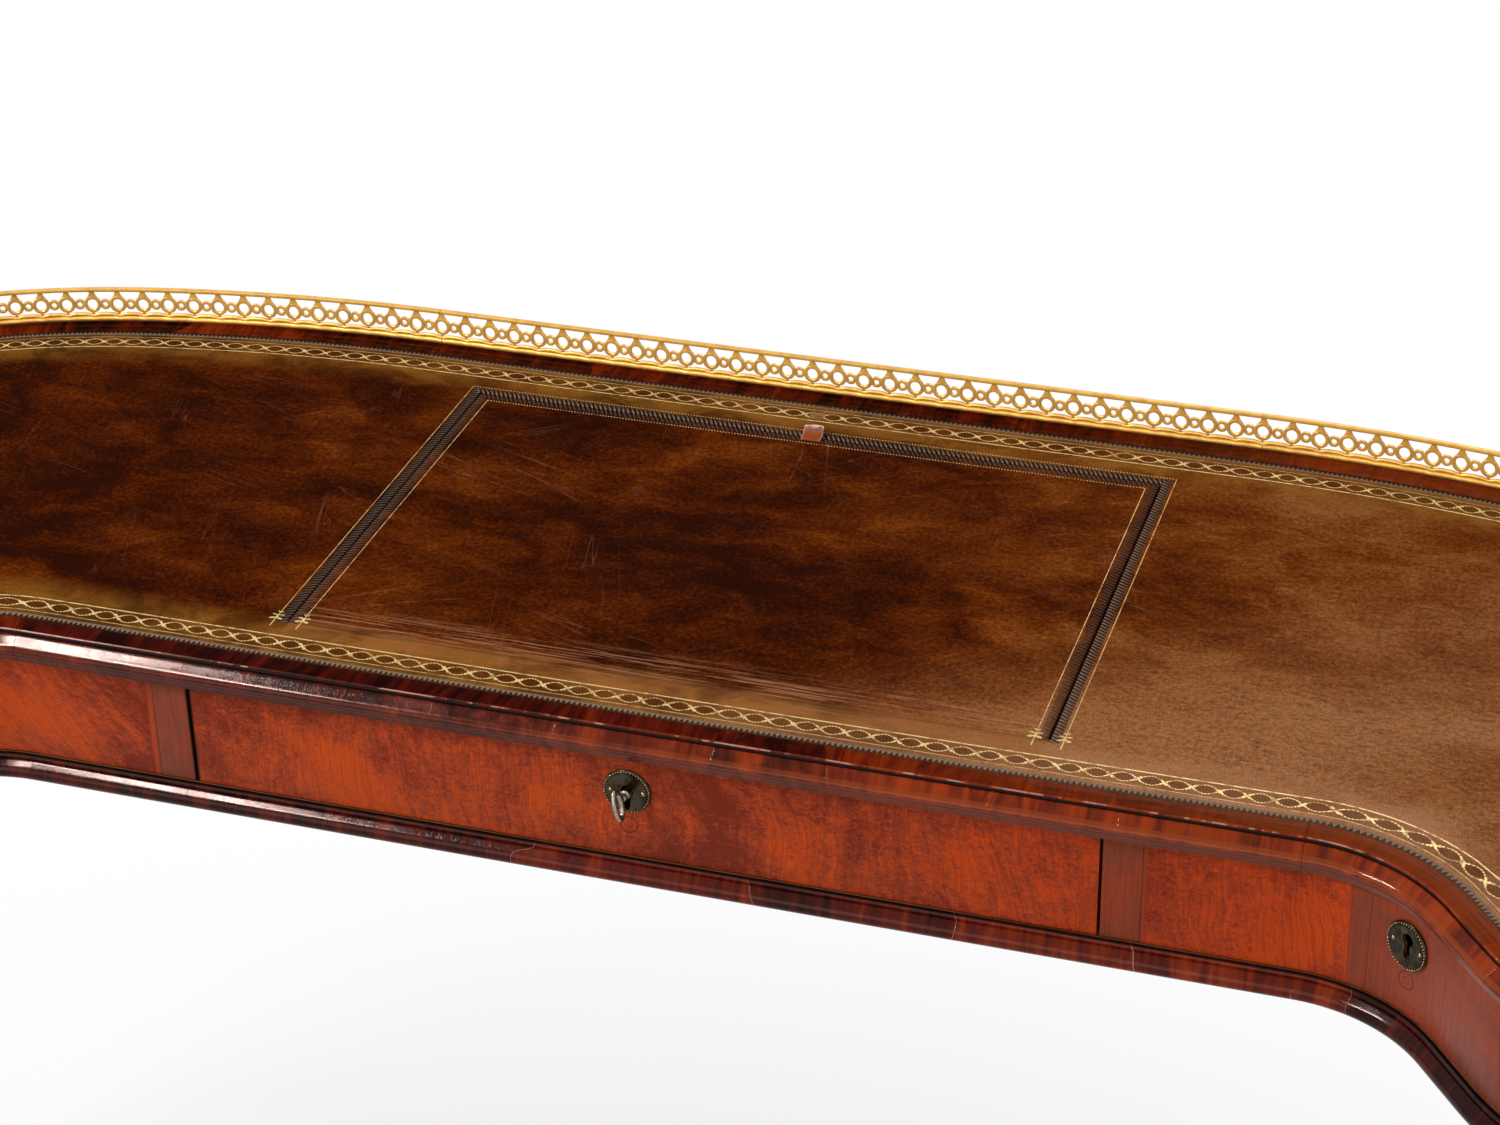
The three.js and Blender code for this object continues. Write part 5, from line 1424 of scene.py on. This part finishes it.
class TABLE_OT_lower_moulding(bpy.types.Operator):
    """Half-round moulding under the frieze, in four lengths"""
    bl_idname = "reading_table.lower_moulding"
    bl_label = "Lower moulding"

    def execute(self, context):
        size = context.scene.table_sizes
        outline = outline_property()
        profile = lower_profile(size)
        base = size.height - size.edge_height - size.frieze_height

        def same_everywhere(heading):
            rows = np.repeat(profile[None], len(heading), 0)
            return rows[..., 0], rows[..., 1]

        for name, along in four_lengths(size, outline):
            moulded(f"lower_{name}", outline, along, same_everywhere, base, "root",
                    [once(lower_banding)], "mahogany", [f"lower_moulding_{name}"])
        return {"FINISHED"}


def swept_board(name, outline, along, low, high, material):
    """An upright board swept along the outline; its second face coordinate is the level."""
    size = bpy.context.scene.table_sizes
    profile = board_profile(size, low, high)
    rows = np.repeat(profile[None], len(along), 0)
    out, up = rows[..., 0], rows[..., 1]
    travel = np.concatenate([up, up[:, :1]], 1)
    shell = Shell()
    sweep(shell, outline, along, out, up, travel)
    return shell.make(name, [material])


class TABLE_OT_friezes(bpy.types.Operator):
    """Fixed friezes of the two ends and of the back"""
    bl_idname = "reading_table.friezes"
    bl_label = "Friezes"

    def execute(self, context):
        size = context.scene.table_sizes
        outline = outline_property()
        high = size.height - size.edge_height - size.seat_gap
        low = high - size.frieze_height + 2 * size.seat_gap
        start = outline.start["lobe_side"] + size.drawer_gap
        right = outline.stations(start, outline.start["back"] - size.seat_gap / 2)
        for label, side in sides:
            along = right if side > 0 else -right[::-1]
            board = swept_board(f"end_frieze_{label}", outline, along, low, high, once(figured_veneer))
            placed(board, "root", "mahogany", f"{label}_end_frieze")
        back = outline.stations(outline.start["back"] + size.seat_gap / 2, outline.length - 1e-6)
        along = np.concatenate([back, 2 * outline.length - back[::-1]])
        board = swept_board("rear_frieze", outline, along, low, high, once(figured_veneer))
        placed(board, "root", "mahogany", "back_frieze")
        return {"FINISHED"}


def lock_along(size, outline, side):
    """Distance along the outline at which a lock sits."""
    return side * (outline.start["cove"] + size.cove_radius * size.side_lock_turn)


def lock_place(size, outline, side):
    """Frame of a lock: origin on the frieze's face, X along the face and Y into the wood."""
    level = size.height - size.edge_height - size.keyhole_drop
    x, y, nx, ny, heading = (float(v) for v in outline.at(np.array(lock_along(size, outline, side))))
    place = Vector((x - nx * size.frieze_setback, y - ny * size.frieze_setback, level))
    return Matrix.Translation(place) @ Matrix.Rotation(side * heading, 4, "Z")


class TABLE_OT_drawer_fronts(bpy.types.Operator):
    """Three veneered drawer fronts with their keyholes and lock pockets"""
    bl_idname = "reading_table.drawer_fronts"
    bl_label = "Drawer fronts"

    def execute(self, context):
        size = context.scene.table_sizes
        fitting = context.scene.fitting_sizes
        outline = outline_property()
        pocket_half, pocket_depth, pocket_height = 26.3 * mm, 11.3 * mm, 50.3 * mm
        bore_stop = 10.5 * mm
        high = size.height - size.edge_height - size.front_gap
        low = size.height - size.edge_height - size.frieze_height + size.front_gap
        half = size.drawer_half - size.drawer_gap / 2
        right = outline.stations(half + size.drawer_gap, outline.start["lobe_side"])
        runs = (("centre", 0, outline.through_middle(half)), ("right", 1, right),
                ("left", -1, -right[::-1]))
        for label, side, along in runs:
            name = f"veneered_front_{label}"
            front = swept_board(name, outline, along, low, high, once(figured_veneer))
            matrix = lock_place(size, outline, side)
            top_level = high - matrix.translation.z
            pocket = box_shell(
                (-pocket_half, size.frieze_depth - pocket_depth, top_level - pocket_height),
                (pocket_half, size.frieze_depth + overrun, top_level + overrun))
            hole = keyhole_shell(-overrun, size.frieze_depth - bore_stop, fitting.side_rise * abs(side))
            cut_away(front, [moved(pocket, matrix), moved(hole, matrix)])
            placed(front, f"{label}_drawer", "mahogany", f"{label}_drawer_front")
        return {"FINISHED"}


class TABLE_OT_keyhole_plates(bpy.types.Operator):
    """Dished keyhole plates with a beaded rim and two bright pins"""
    bl_idname = "reading_table.keyhole_plates"
    bl_label = "Keyhole plates"

    def execute(self, context):
        size = context.scene.table_sizes
        fitting = context.scene.fitting_sizes
        outline = outline_property()
        standoff_on_curve = 1.4 * mm
        for label, side in (("centre", 0), *sides):
            plate = keyhole_plate(f"lock_plate_{label}", fitting, fitting.side_rise * abs(side))
            standoff = standoff_on_curve if side else size.seat_gap
            matrix = lock_place(size, outline, side) @ Matrix.Translation((0, -standoff, 0))
            plate.data.transform(matrix)
            placed(plate, f"{label}_drawer", "bronze", f"{label}_keyhole_plate")
        return {"FINISHED"}


def keyhole_plate(name, fitting, rise):
    """Plate facing -Y: a turned profile, a ring of half beads and two domes, and the keyhole through it.

    The dish is a bowl whose height is a power of the distance from the middle."""
    radius, rim, dish = fitting.plate_radius, fitting.plate_rim, fitting.plate_dish
    bead_half, bead_rise = 0.7 * mm, 0.9 * mm
    pin_radius, pin_rise, pin_place = 1.5 * mm, 1.2 * mm, 10.4 * mm
    bowl = np.linspace(0.80, 0, 14)
    profile = np.concatenate([
        [(0, 0), (radius * 0.985, 0), (radius, 0.0003)],
        ellipse_arc((radius * 0.93, 0.0006), (radius * 0.07, rim * 0.62 - 0.0006), 10, 90, 6),
        [(radius * 0.875, rim * 0.60), (radius * 0.86, rim * 0.86), (radius * 0.835, rim * 0.88)],
        stacked(radius * bowl, 0.45 * dish + (rim * 0.80 - 0.45 * dish) * (bowl / 0.80) ** 2.6),
    ])
    shell = Shell()
    turned(shell, profile, 72)
    finishes = [once(metal, "dark_bronze"), once(metal, "rubbed_bronze")]
    body = shell.make(name, finishes, merge=True)
    turn_face = Matrix.Rotation(math.pi / 2, 4, "X")
    body.data.transform(turn_face)
    cut_away(body, [keyhole_shell(-overrun, overrun, rise)], sharp=40)
    extras = Shell()
    bead = ellipse_arc((0, 0), (bead_half, bead_rise), 0, 90, 4)
    bead[-1, 0] = 0
    for k in range(fitting.plate_beads):
        a = 2 * math.pi * k / fitting.plate_beads
        centre = (radius * 0.93 * math.cos(a), radius * 0.93 * math.sin(a), rim * 0.60)
        turned(extras, np.concatenate([[(0, 0)], bead]), 8, slot=1, centre=centre)
    dome = ellipse_arc((0, 0), (pin_radius, pin_rise), 0, 90, 6)
    dome[-1, 0] = 0
    pin = np.concatenate([[(0, -pin_rise / 2)], dome])
    for side in (-1, 1):
        turned(extras, pin, 20, slot=1, centre=(side * pin_place, 0, dish))
    trim = extras.make(f"{name}_trim", finishes, merge=True)
    trim.data.transform(turn_face)
    return joined(body, trim)


def joined(first, second):
    """One object with the meshes of both, which have the same materials in the same order."""
    work = bmesh.new()
    work.from_mesh(first.data)
    work.from_mesh(second.data)
    work.to_mesh(first.data)
    work.free()
    bpy.data.objects.remove(second)
    finish_edges(first.data, 40)
    return first


class TABLE_OT_key(bpy.types.Operator):
    """Key of the centre lock, with a turned stem and an oval bow"""
    bl_idname = "reading_table.key"
    bl_label = "Key"

    def execute(self, context):
        size = context.scene.table_sizes
        fitting = context.scene.fitting_sizes
        reach, wire, bow_depth, short_of_back = fitting.key_reach, 1.8 * mm, 6.6 * mm, 6 * mm
        tip = size.frieze_depth - short_of_back - size.seat_gap
        stem = np.array([(0, -tip), (0.0021, -tip), (0.0022, -tip + 0.0004), (0.0022, 0.0030),
                         (0.0025, 0.0034), (0.0031, 0.0042), (0.0031, 0.0052), (0.0024, 0.0058),
                         (0.0029, 0.0064), (0.0024, 0.0071), (0.0021, reach), (0, reach + 0.0008)])
        shell = Shell()
        turned(shell, stem, 28)
        t = np.linspace(0, 2 * math.pi, 49)[:-1]
        bow_long, bow_half = bow_depth - wire, fitting.key_bow / 2 - wire
        path = stacked(np.sin(t) * bow_half, 0, reach + 0.0075 - np.cos(t) * bow_long)
        swell = wire * (1.0 + 0.15 * np.abs(np.sin(t)))
        tube(shell, path, stacked(swell, swell * 0.8), 12, (0, 1, 0))
        bit = box_shell((-0.0065, -0.0010, -tip), (0, 0.0010, -tip + 0.0036))
        steel = [once(metal, "polished_steel")]
        key = joined(shell.make("lock_key", steel, merge=True), bit.make("bit", steel))
        key.data.transform(Matrix.Rotation(math.pi / 2, 4, "X"))
        key.data.transform(Matrix.Rotation(-math.pi / 2 - fitting.key_lean, 4, "Y"))
        key.data.transform(lock_place(size, outline_property(), 0))
        placed(key, "key", "iron", "key")
        return {"FINISHED"}


class TABLE_OT_gallery(bpy.types.Operator):
    """Pierced brass gallery in three lengths"""
    bl_idname = "reading_table.gallery"
    bl_label = "Gallery"

    def execute(self, context):
        size = context.scene.table_sizes
        outline = outline_property()
        first, last = outline.start["corner"], outline.start["back"]
        for label, side in sides:
            shell = gallery_length(outline, first, last - size.seat_gap, side, free_end=True)
            piece = shell.make(f"gallery_run_{label}", [once(metal, "bright_brass")])
            placed(piece, "root", "brass", f"gallery_{label}")
        start = last + size.seat_gap
        shell = gallery_length(outline, start, 2 * outline.length - start)
        piece = shell.make("gallery_run_back", [once(metal, "bright_brass")])
        placed(piece, "root", "brass", "gallery_back")
        return {"FINISHED"}


def gallery_length(outline, first, last, side=1, free_end=False):
    """Rails, rings and tips from first to last along the outline; side -1 is its mirror image.

    Every part is worked out flat, as (along, up, depth), and then bent: the outline's point at that
    distance, moved inwards along its normal."""
    size = bpy.context.scene.table_sizes
    fitting = bpy.context.scene.fitting_sizes
    base = size.height + size.seat_gap
    middle = fitting.gallery_setback + fitting.gallery_depth / 2
    bays = max(1, round((last - first) / fitting.gallery_pitch))
    pitch = (last - first) / bays

    def bent(flat):
        along, up, depth = flat[..., 0], flat[..., 1], flat[..., 2]
        x, y, nx, ny, _ = outline.at(first + along)
        inward = middle + depth
        return stacked(side * (x - nx * inward), y - ny * inward, base + up)

    shell = Shell()
    rails(shell, last - first, bays, fitting)
    half_sheet = fitting.sheet_depth / 2
    for k in range(bays + 1):
        start = k * pitch
        if 0 < k < bays or not free_end:
            ring(shell, start, fitting.ring_height, fitting.ring_radius, fitting.ring_width / 2,
                 half_sheet, 28, 8, 1.05)
            tips(shell, start, fitting, half_sheet)
        if k < bays:
            ring(shell, start + pitch / 2, fitting.ring_height, fitting.bead_radius,
                 fitting.bead_width / 2, half_sheet * 0.92, 18, 6, 1.0)
    if free_end:
        end_post(shell, fitting)
    shell.points = [bent(p) for p in shell.points]
    shell.corners = [c.reshape(-1, int(s[0]))[:, ::-side].ravel()
                     for c, s in zip(shell.corners, shell.sizes)]
    return shell


def rails(shell, run, bays, fitting):
    """Top rail of squared section, and a foot of two beads that swell under each large ring."""
    rail_half, rail_up = fitting.rail_half, fitting.rail_height / 2
    stations = np.linspace(0, run, bays * 8 + 1)
    scallop = np.linspace(0, run, bays * 16 + 1)
    rail = ellipse_arc((0, 0), (rail_half, rail_up), 0, 350, 14)
    rail = np.sign(rail) * np.abs(rail / (rail_half, rail_up)) ** 0.6 * (rail_half, rail_up)
    top = stacked(stations[:, None], fitting.gallery_height - rail_up + rail[:, 1], rail[:, 0])
    shell.grid(top, None, wrap_columns=True, caps=True)
    foot = fitting.foot_height
    wave = ((0.5 + 0.5 * np.cos(2 * math.pi * scallop * bays / run)) ** 3)[:, None]
    lower = ellipse_arc((0, 0.28 * foot), (0.0016, 0.28 * foot), 0, 345, 12)
    bottom = stacked(scallop[:, None], lower[:, 1], lower[:, 0] * (1.0 + 0.28 * wave))
    shell.grid(bottom, None, wrap_columns=True, caps=True)
    upper = ellipse_arc((0, 0.78 * foot), (0.0013, 0.22 * foot), 0, 345, 12)
    fillet = stacked(scallop[:, None], upper[:, 1] - 0.0012 * wave, upper[:, 0])
    shell.grid(fillet, None, wrap_columns=True, caps=True)


def end_post(shell, fitting):
    """Square post at the gallery's free end, from inside the foot to inside the top rail."""
    wide, deep = 0.0022, fitting.gallery_depth / 2
    post = np.array([(0, -deep), (wide, -deep), (wide, deep), (0, deep)])
    levels = (0.5 * fitting.foot_height, fitting.gallery_height - fitting.rail_height / 2)
    prism(post, 1, levels, shell)


def ring(shell, along, up, radius, half_width, half_depth, steps, section, tall):
    """A flat ring in the plane of along and up; tall stretches it upwards."""
    t = np.linspace(0, 2 * math.pi, steps + 1)[:-1]
    path = stacked(along + radius * np.cos(t), up + radius * tall * np.sin(t), 0)
    tube(shell, path, (half_width, half_depth), section, (0, 0, 1), flat=0.45)


def tips(shell, along, fitting, half_depth):
    """Pointed joins from a large ring up to the rail and down to the foot.

    Their half width falls with a power of the share of the way that is left to the rail or foot."""
    ring_top = fitting.ring_radius * 1.05
    t = np.linspace(0, 1, 6)
    section = np.linspace(0, 2 * math.pi, 9)[:-1] + math.pi / 8
    for direction, reach in ((1, fitting.gallery_height - fitting.rail_height - fitting.ring_height),
                             (-1, fitting.ring_height - fitting.foot_height)):
        low, high = ring_top - 0.0006, reach + 0.0008
        level = low + (high - low) * t
        half = (0.0016 if direction > 0 else 0.0009) + 0.0028 * (1 - t) ** 1.8
        c, s = (np.sign(v) * np.abs(v) ** 0.45 for v in (np.cos(section), np.sin(section)))
        points = stacked(along + half[:, None] * c, fitting.ring_height + direction * level[:, None],
                         half_depth * 0.95 * s)
        shell.grid(points, None, wrap_columns=True, caps=True)


class TABLE_OT_legs(bpy.types.Operator):
    """Four turned legs"""
    bl_idname = "reading_table.legs"
    bl_label = "Legs"

    def execute(self, context):
        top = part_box("front_left_leg")[1].z
        radius = 0.029
        shares = [(0.42, 0), (0.56, 0.012), (0.62, 0.03), (0.50, 0.055), (0.44, 0.07), (0.58, 0.085),
                  (0.46, 0.105), (0.56, 0.30), (0.70, 0.55), (0.83, 0.755), (0.84, 0.77), (0.70, 0.785),
                  (0.86, 0.796), (0.98, 0.81), (0.86, 0.824), (0.70, 0.836), (0.63, 0.85), (0.66, 0.87),
                  (0.86, 0.90), (1, 0.93), (1, 0.955), (0.86, 0.975), (0.98, 0.985), (1, 0.99)]
        smooth = rounded([(r * radius, h * top) for r, h in shares], 6)
        smooth[:, 1] = np.clip(smooth[:, 1], 0, top)
        profile = np.concatenate([[(0, 0)], smooth, [(radius, top), (0, top)]])
        for row in ("front", "rear"):
            for label, _ in sides:
                node = f"{row}_{label}_leg"
                low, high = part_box(node)
                shell = Shell()
                turned(shell, profile, 48, centre=((low.x + high.x) / 2, (low.y + high.y) / 2, 0))
                leg = shell.make(f"turned_{node}", [once(plain_wood, "leg_wood")], merge=True)
                placed(leg, "root", "mahogany", node)
        return {"FINISHED"}


class TABLE_OT_carcase(bpy.types.Operator):
    """Finishes of the frame's own pieces that stay in view"""
    bl_idname = "reading_table.carcase"
    bl_label = "Carcase"

    def execute(self, context):
        finishes = {"mahogany": (plain_wood, "slope_wood"), "brass": (metal, "bright_brass"),
                    "carcase_wood": (plain_wood, "carcase_timber"), "bronze": (metal, "dark_bronze"),
                    "drawer_lining": (plain_wood, "drawer_timber"), "iron": (metal, "forged_iron"),
                    "leather": (tooled_hide,), "tab_leather": (worn_tab,)}
        slots = {part["node"]: part["material_slot"] for part in frame["record"]["subparts"]}
        for node, piece in frame["nodes"].items():
            material = once(*finishes[slots[node]])
            for slot in piece.material_slots:
                slot.material = material
        return {"FINISHED"}


class TABLE_OT_stage(bpy.types.Operator):
    """Pale floor, soft lights, white surroundings and the camera"""
    bl_idname = "reading_table.stage"
    bl_label = "Stage"

    def execute(self, context):
        studio = context.scene.studio_settings
        floor_shell = Shell()
        x, y = np.meshgrid(np.linspace(-9, 9, 4), np.linspace(-9, 9, 4), indexing="ij")
        floor_shell.grid(stacked(x, y, -0.5 * mm), None, flip=True)
        floor_shell.make("floor", [pale_floor(studio)])
        world = bpy.data.worlds.new("Surroundings")
        world.use_nodes = True
        context.scene.world = world
        n = Nodes(world.node_tree)
        shade = n.mix(seen_directly(n), [studio.ambient] * 3, (1, 1, 1))
        n.put(world.node_tree.nodes["Background"].inputs["Color"], shade)
        softbox("left_softbox", (-1.60, -1.26, 2.76), (-0.35, -0.17, 0.73), (1.0, 0.16), studio.left_power)
        softbox("rear_softbox", (0.60, 2.3, 2.3), (0.35, 0.0, 0.74), (1.8, 0.7), studio.rear_power)
        softbox("front_softbox", (-0.2, -3.0, 1.5), (0.1, 0, 0.66), (3.4, 2.0), studio.front_power)
        camera = bpy.data.objects.new("camera", bpy.data.cameras.new("camera"))
        camera.data.lens = studio.lens
        camera.data.sensor_width = 36
        camera.location = studio.camera_place
        camera.rotation_euler = Euler(studio.camera_turn)
        context.scene.collection.objects.link(camera)
        context.scene.camera = camera
        context.scene.view_settings.view_transform = "Standard"
        return {"FINISHED"}


def seen_directly(n):
    """One on a ray from the camera, or one that a shiny or clear surface sends on."""
    path = n.fields(n.new("ShaderNodeLightPath").outputs)
    return n.most(path["Is Camera Ray"], path["Is Glossy Ray"], path["Is Transmission Ray"])


def pale_floor(studio):
    """Pale floor with the table's shadow on it, which fades to plain white away from the table."""
    material, n, shader = surface_material("pale_floor", Specular_IOR_Level=0.1, Roughness=0.9)
    place = object_place(n)
    tone = n.mix(n.noise(place, 3.0, 2.0), studio.floor, tuple(0.97 * c for c in studio.floor))
    n.put(shader.inputs["Base Color"], tone)
    x, y, _ = n.split(place)
    away = n.root(x * x * 0.45 + y * y)
    white = n.smooth(away, 0.15, 0.9, 0.75, 1.0)
    glow = n.made("ShaderNodeEmission", {"Color": (1, 1, 1), "Strength": 1.0})
    lit = Field(n, shader.outputs[0])
    both = n.made("ShaderNodeMixShader", {0: seen_directly(n) * white, 1: lit, 2: glow})
    n.put(material.node_tree.nodes["Material Output"].inputs["Surface"], both)
    return material


def softbox(name, place, target, size, power):
    """Rectangular soft light at place that faces target."""
    light = bpy.data.lights.new(name, "AREA")
    light.shape = "RECTANGLE"
    light.size, light.size_y = size
    light.energy = power
    lamp = bpy.data.objects.new(name, light)
    lamp.location = place
    lamp.rotation_euler = (Vector(target) - Vector(place)).to_track_quat("-Z", "Y").to_euler()
    bpy.context.scene.collection.objects.link(lamp)
    return lamp


operators = (TABLE_OT_carcase, TABLE_OT_leather, TABLE_OT_pull_tab, TABLE_OT_top_edge,
             TABLE_OT_lower_moulding, TABLE_OT_friezes, TABLE_OT_drawer_fronts, TABLE_OT_keyhole_plates,
             TABLE_OT_key, TABLE_OT_gallery, TABLE_OT_legs, TABLE_OT_stage)
settings = (("table_sizes", TableSizes), ("fitting_sizes", FittingSizes),
            ("leather_finish", LeatherFinish), ("wood_finish", WoodFinish),
            ("metal_finish", MetalFinish), ("studio_settings", StudioSettings))


class TABLE_PT_panel(bpy.types.Panel):
    """Lists the table's pieces in the sidebar"""
    bl_idname = "TABLE_PT_panel"
    bl_label = "Reading table"
    bl_space_type = "VIEW_3D"
    bl_region_type = "UI"
    bl_category = "Table"

    def draw(self, context):
        for operator in operators:
            self.layout.operator(operator.bl_idname)


def register():
    for name, group in settings:
        bpy.utils.register_class(group)
        setattr(bpy.types.Scene, name, PointerProperty(type=group))
    for operator in operators:
        bpy.utils.register_class(operator)
    bpy.utils.register_class(TABLE_PT_panel)


def unregister():
    bpy.utils.unregister_class(TABLE_PT_panel)
    for operator in reversed(operators):
        bpy.utils.unregister_class(operator)
    for name, group in reversed(settings):
        delattr(bpy.types.Scene, name)
        bpy.utils.unregister_class(group)


def main():
    register()
    for operator in operators:
        area, name = operator.bl_idname.split(".")
        getattr(getattr(bpy.ops, area), name)()


if __name__ == "__main__":
    main()
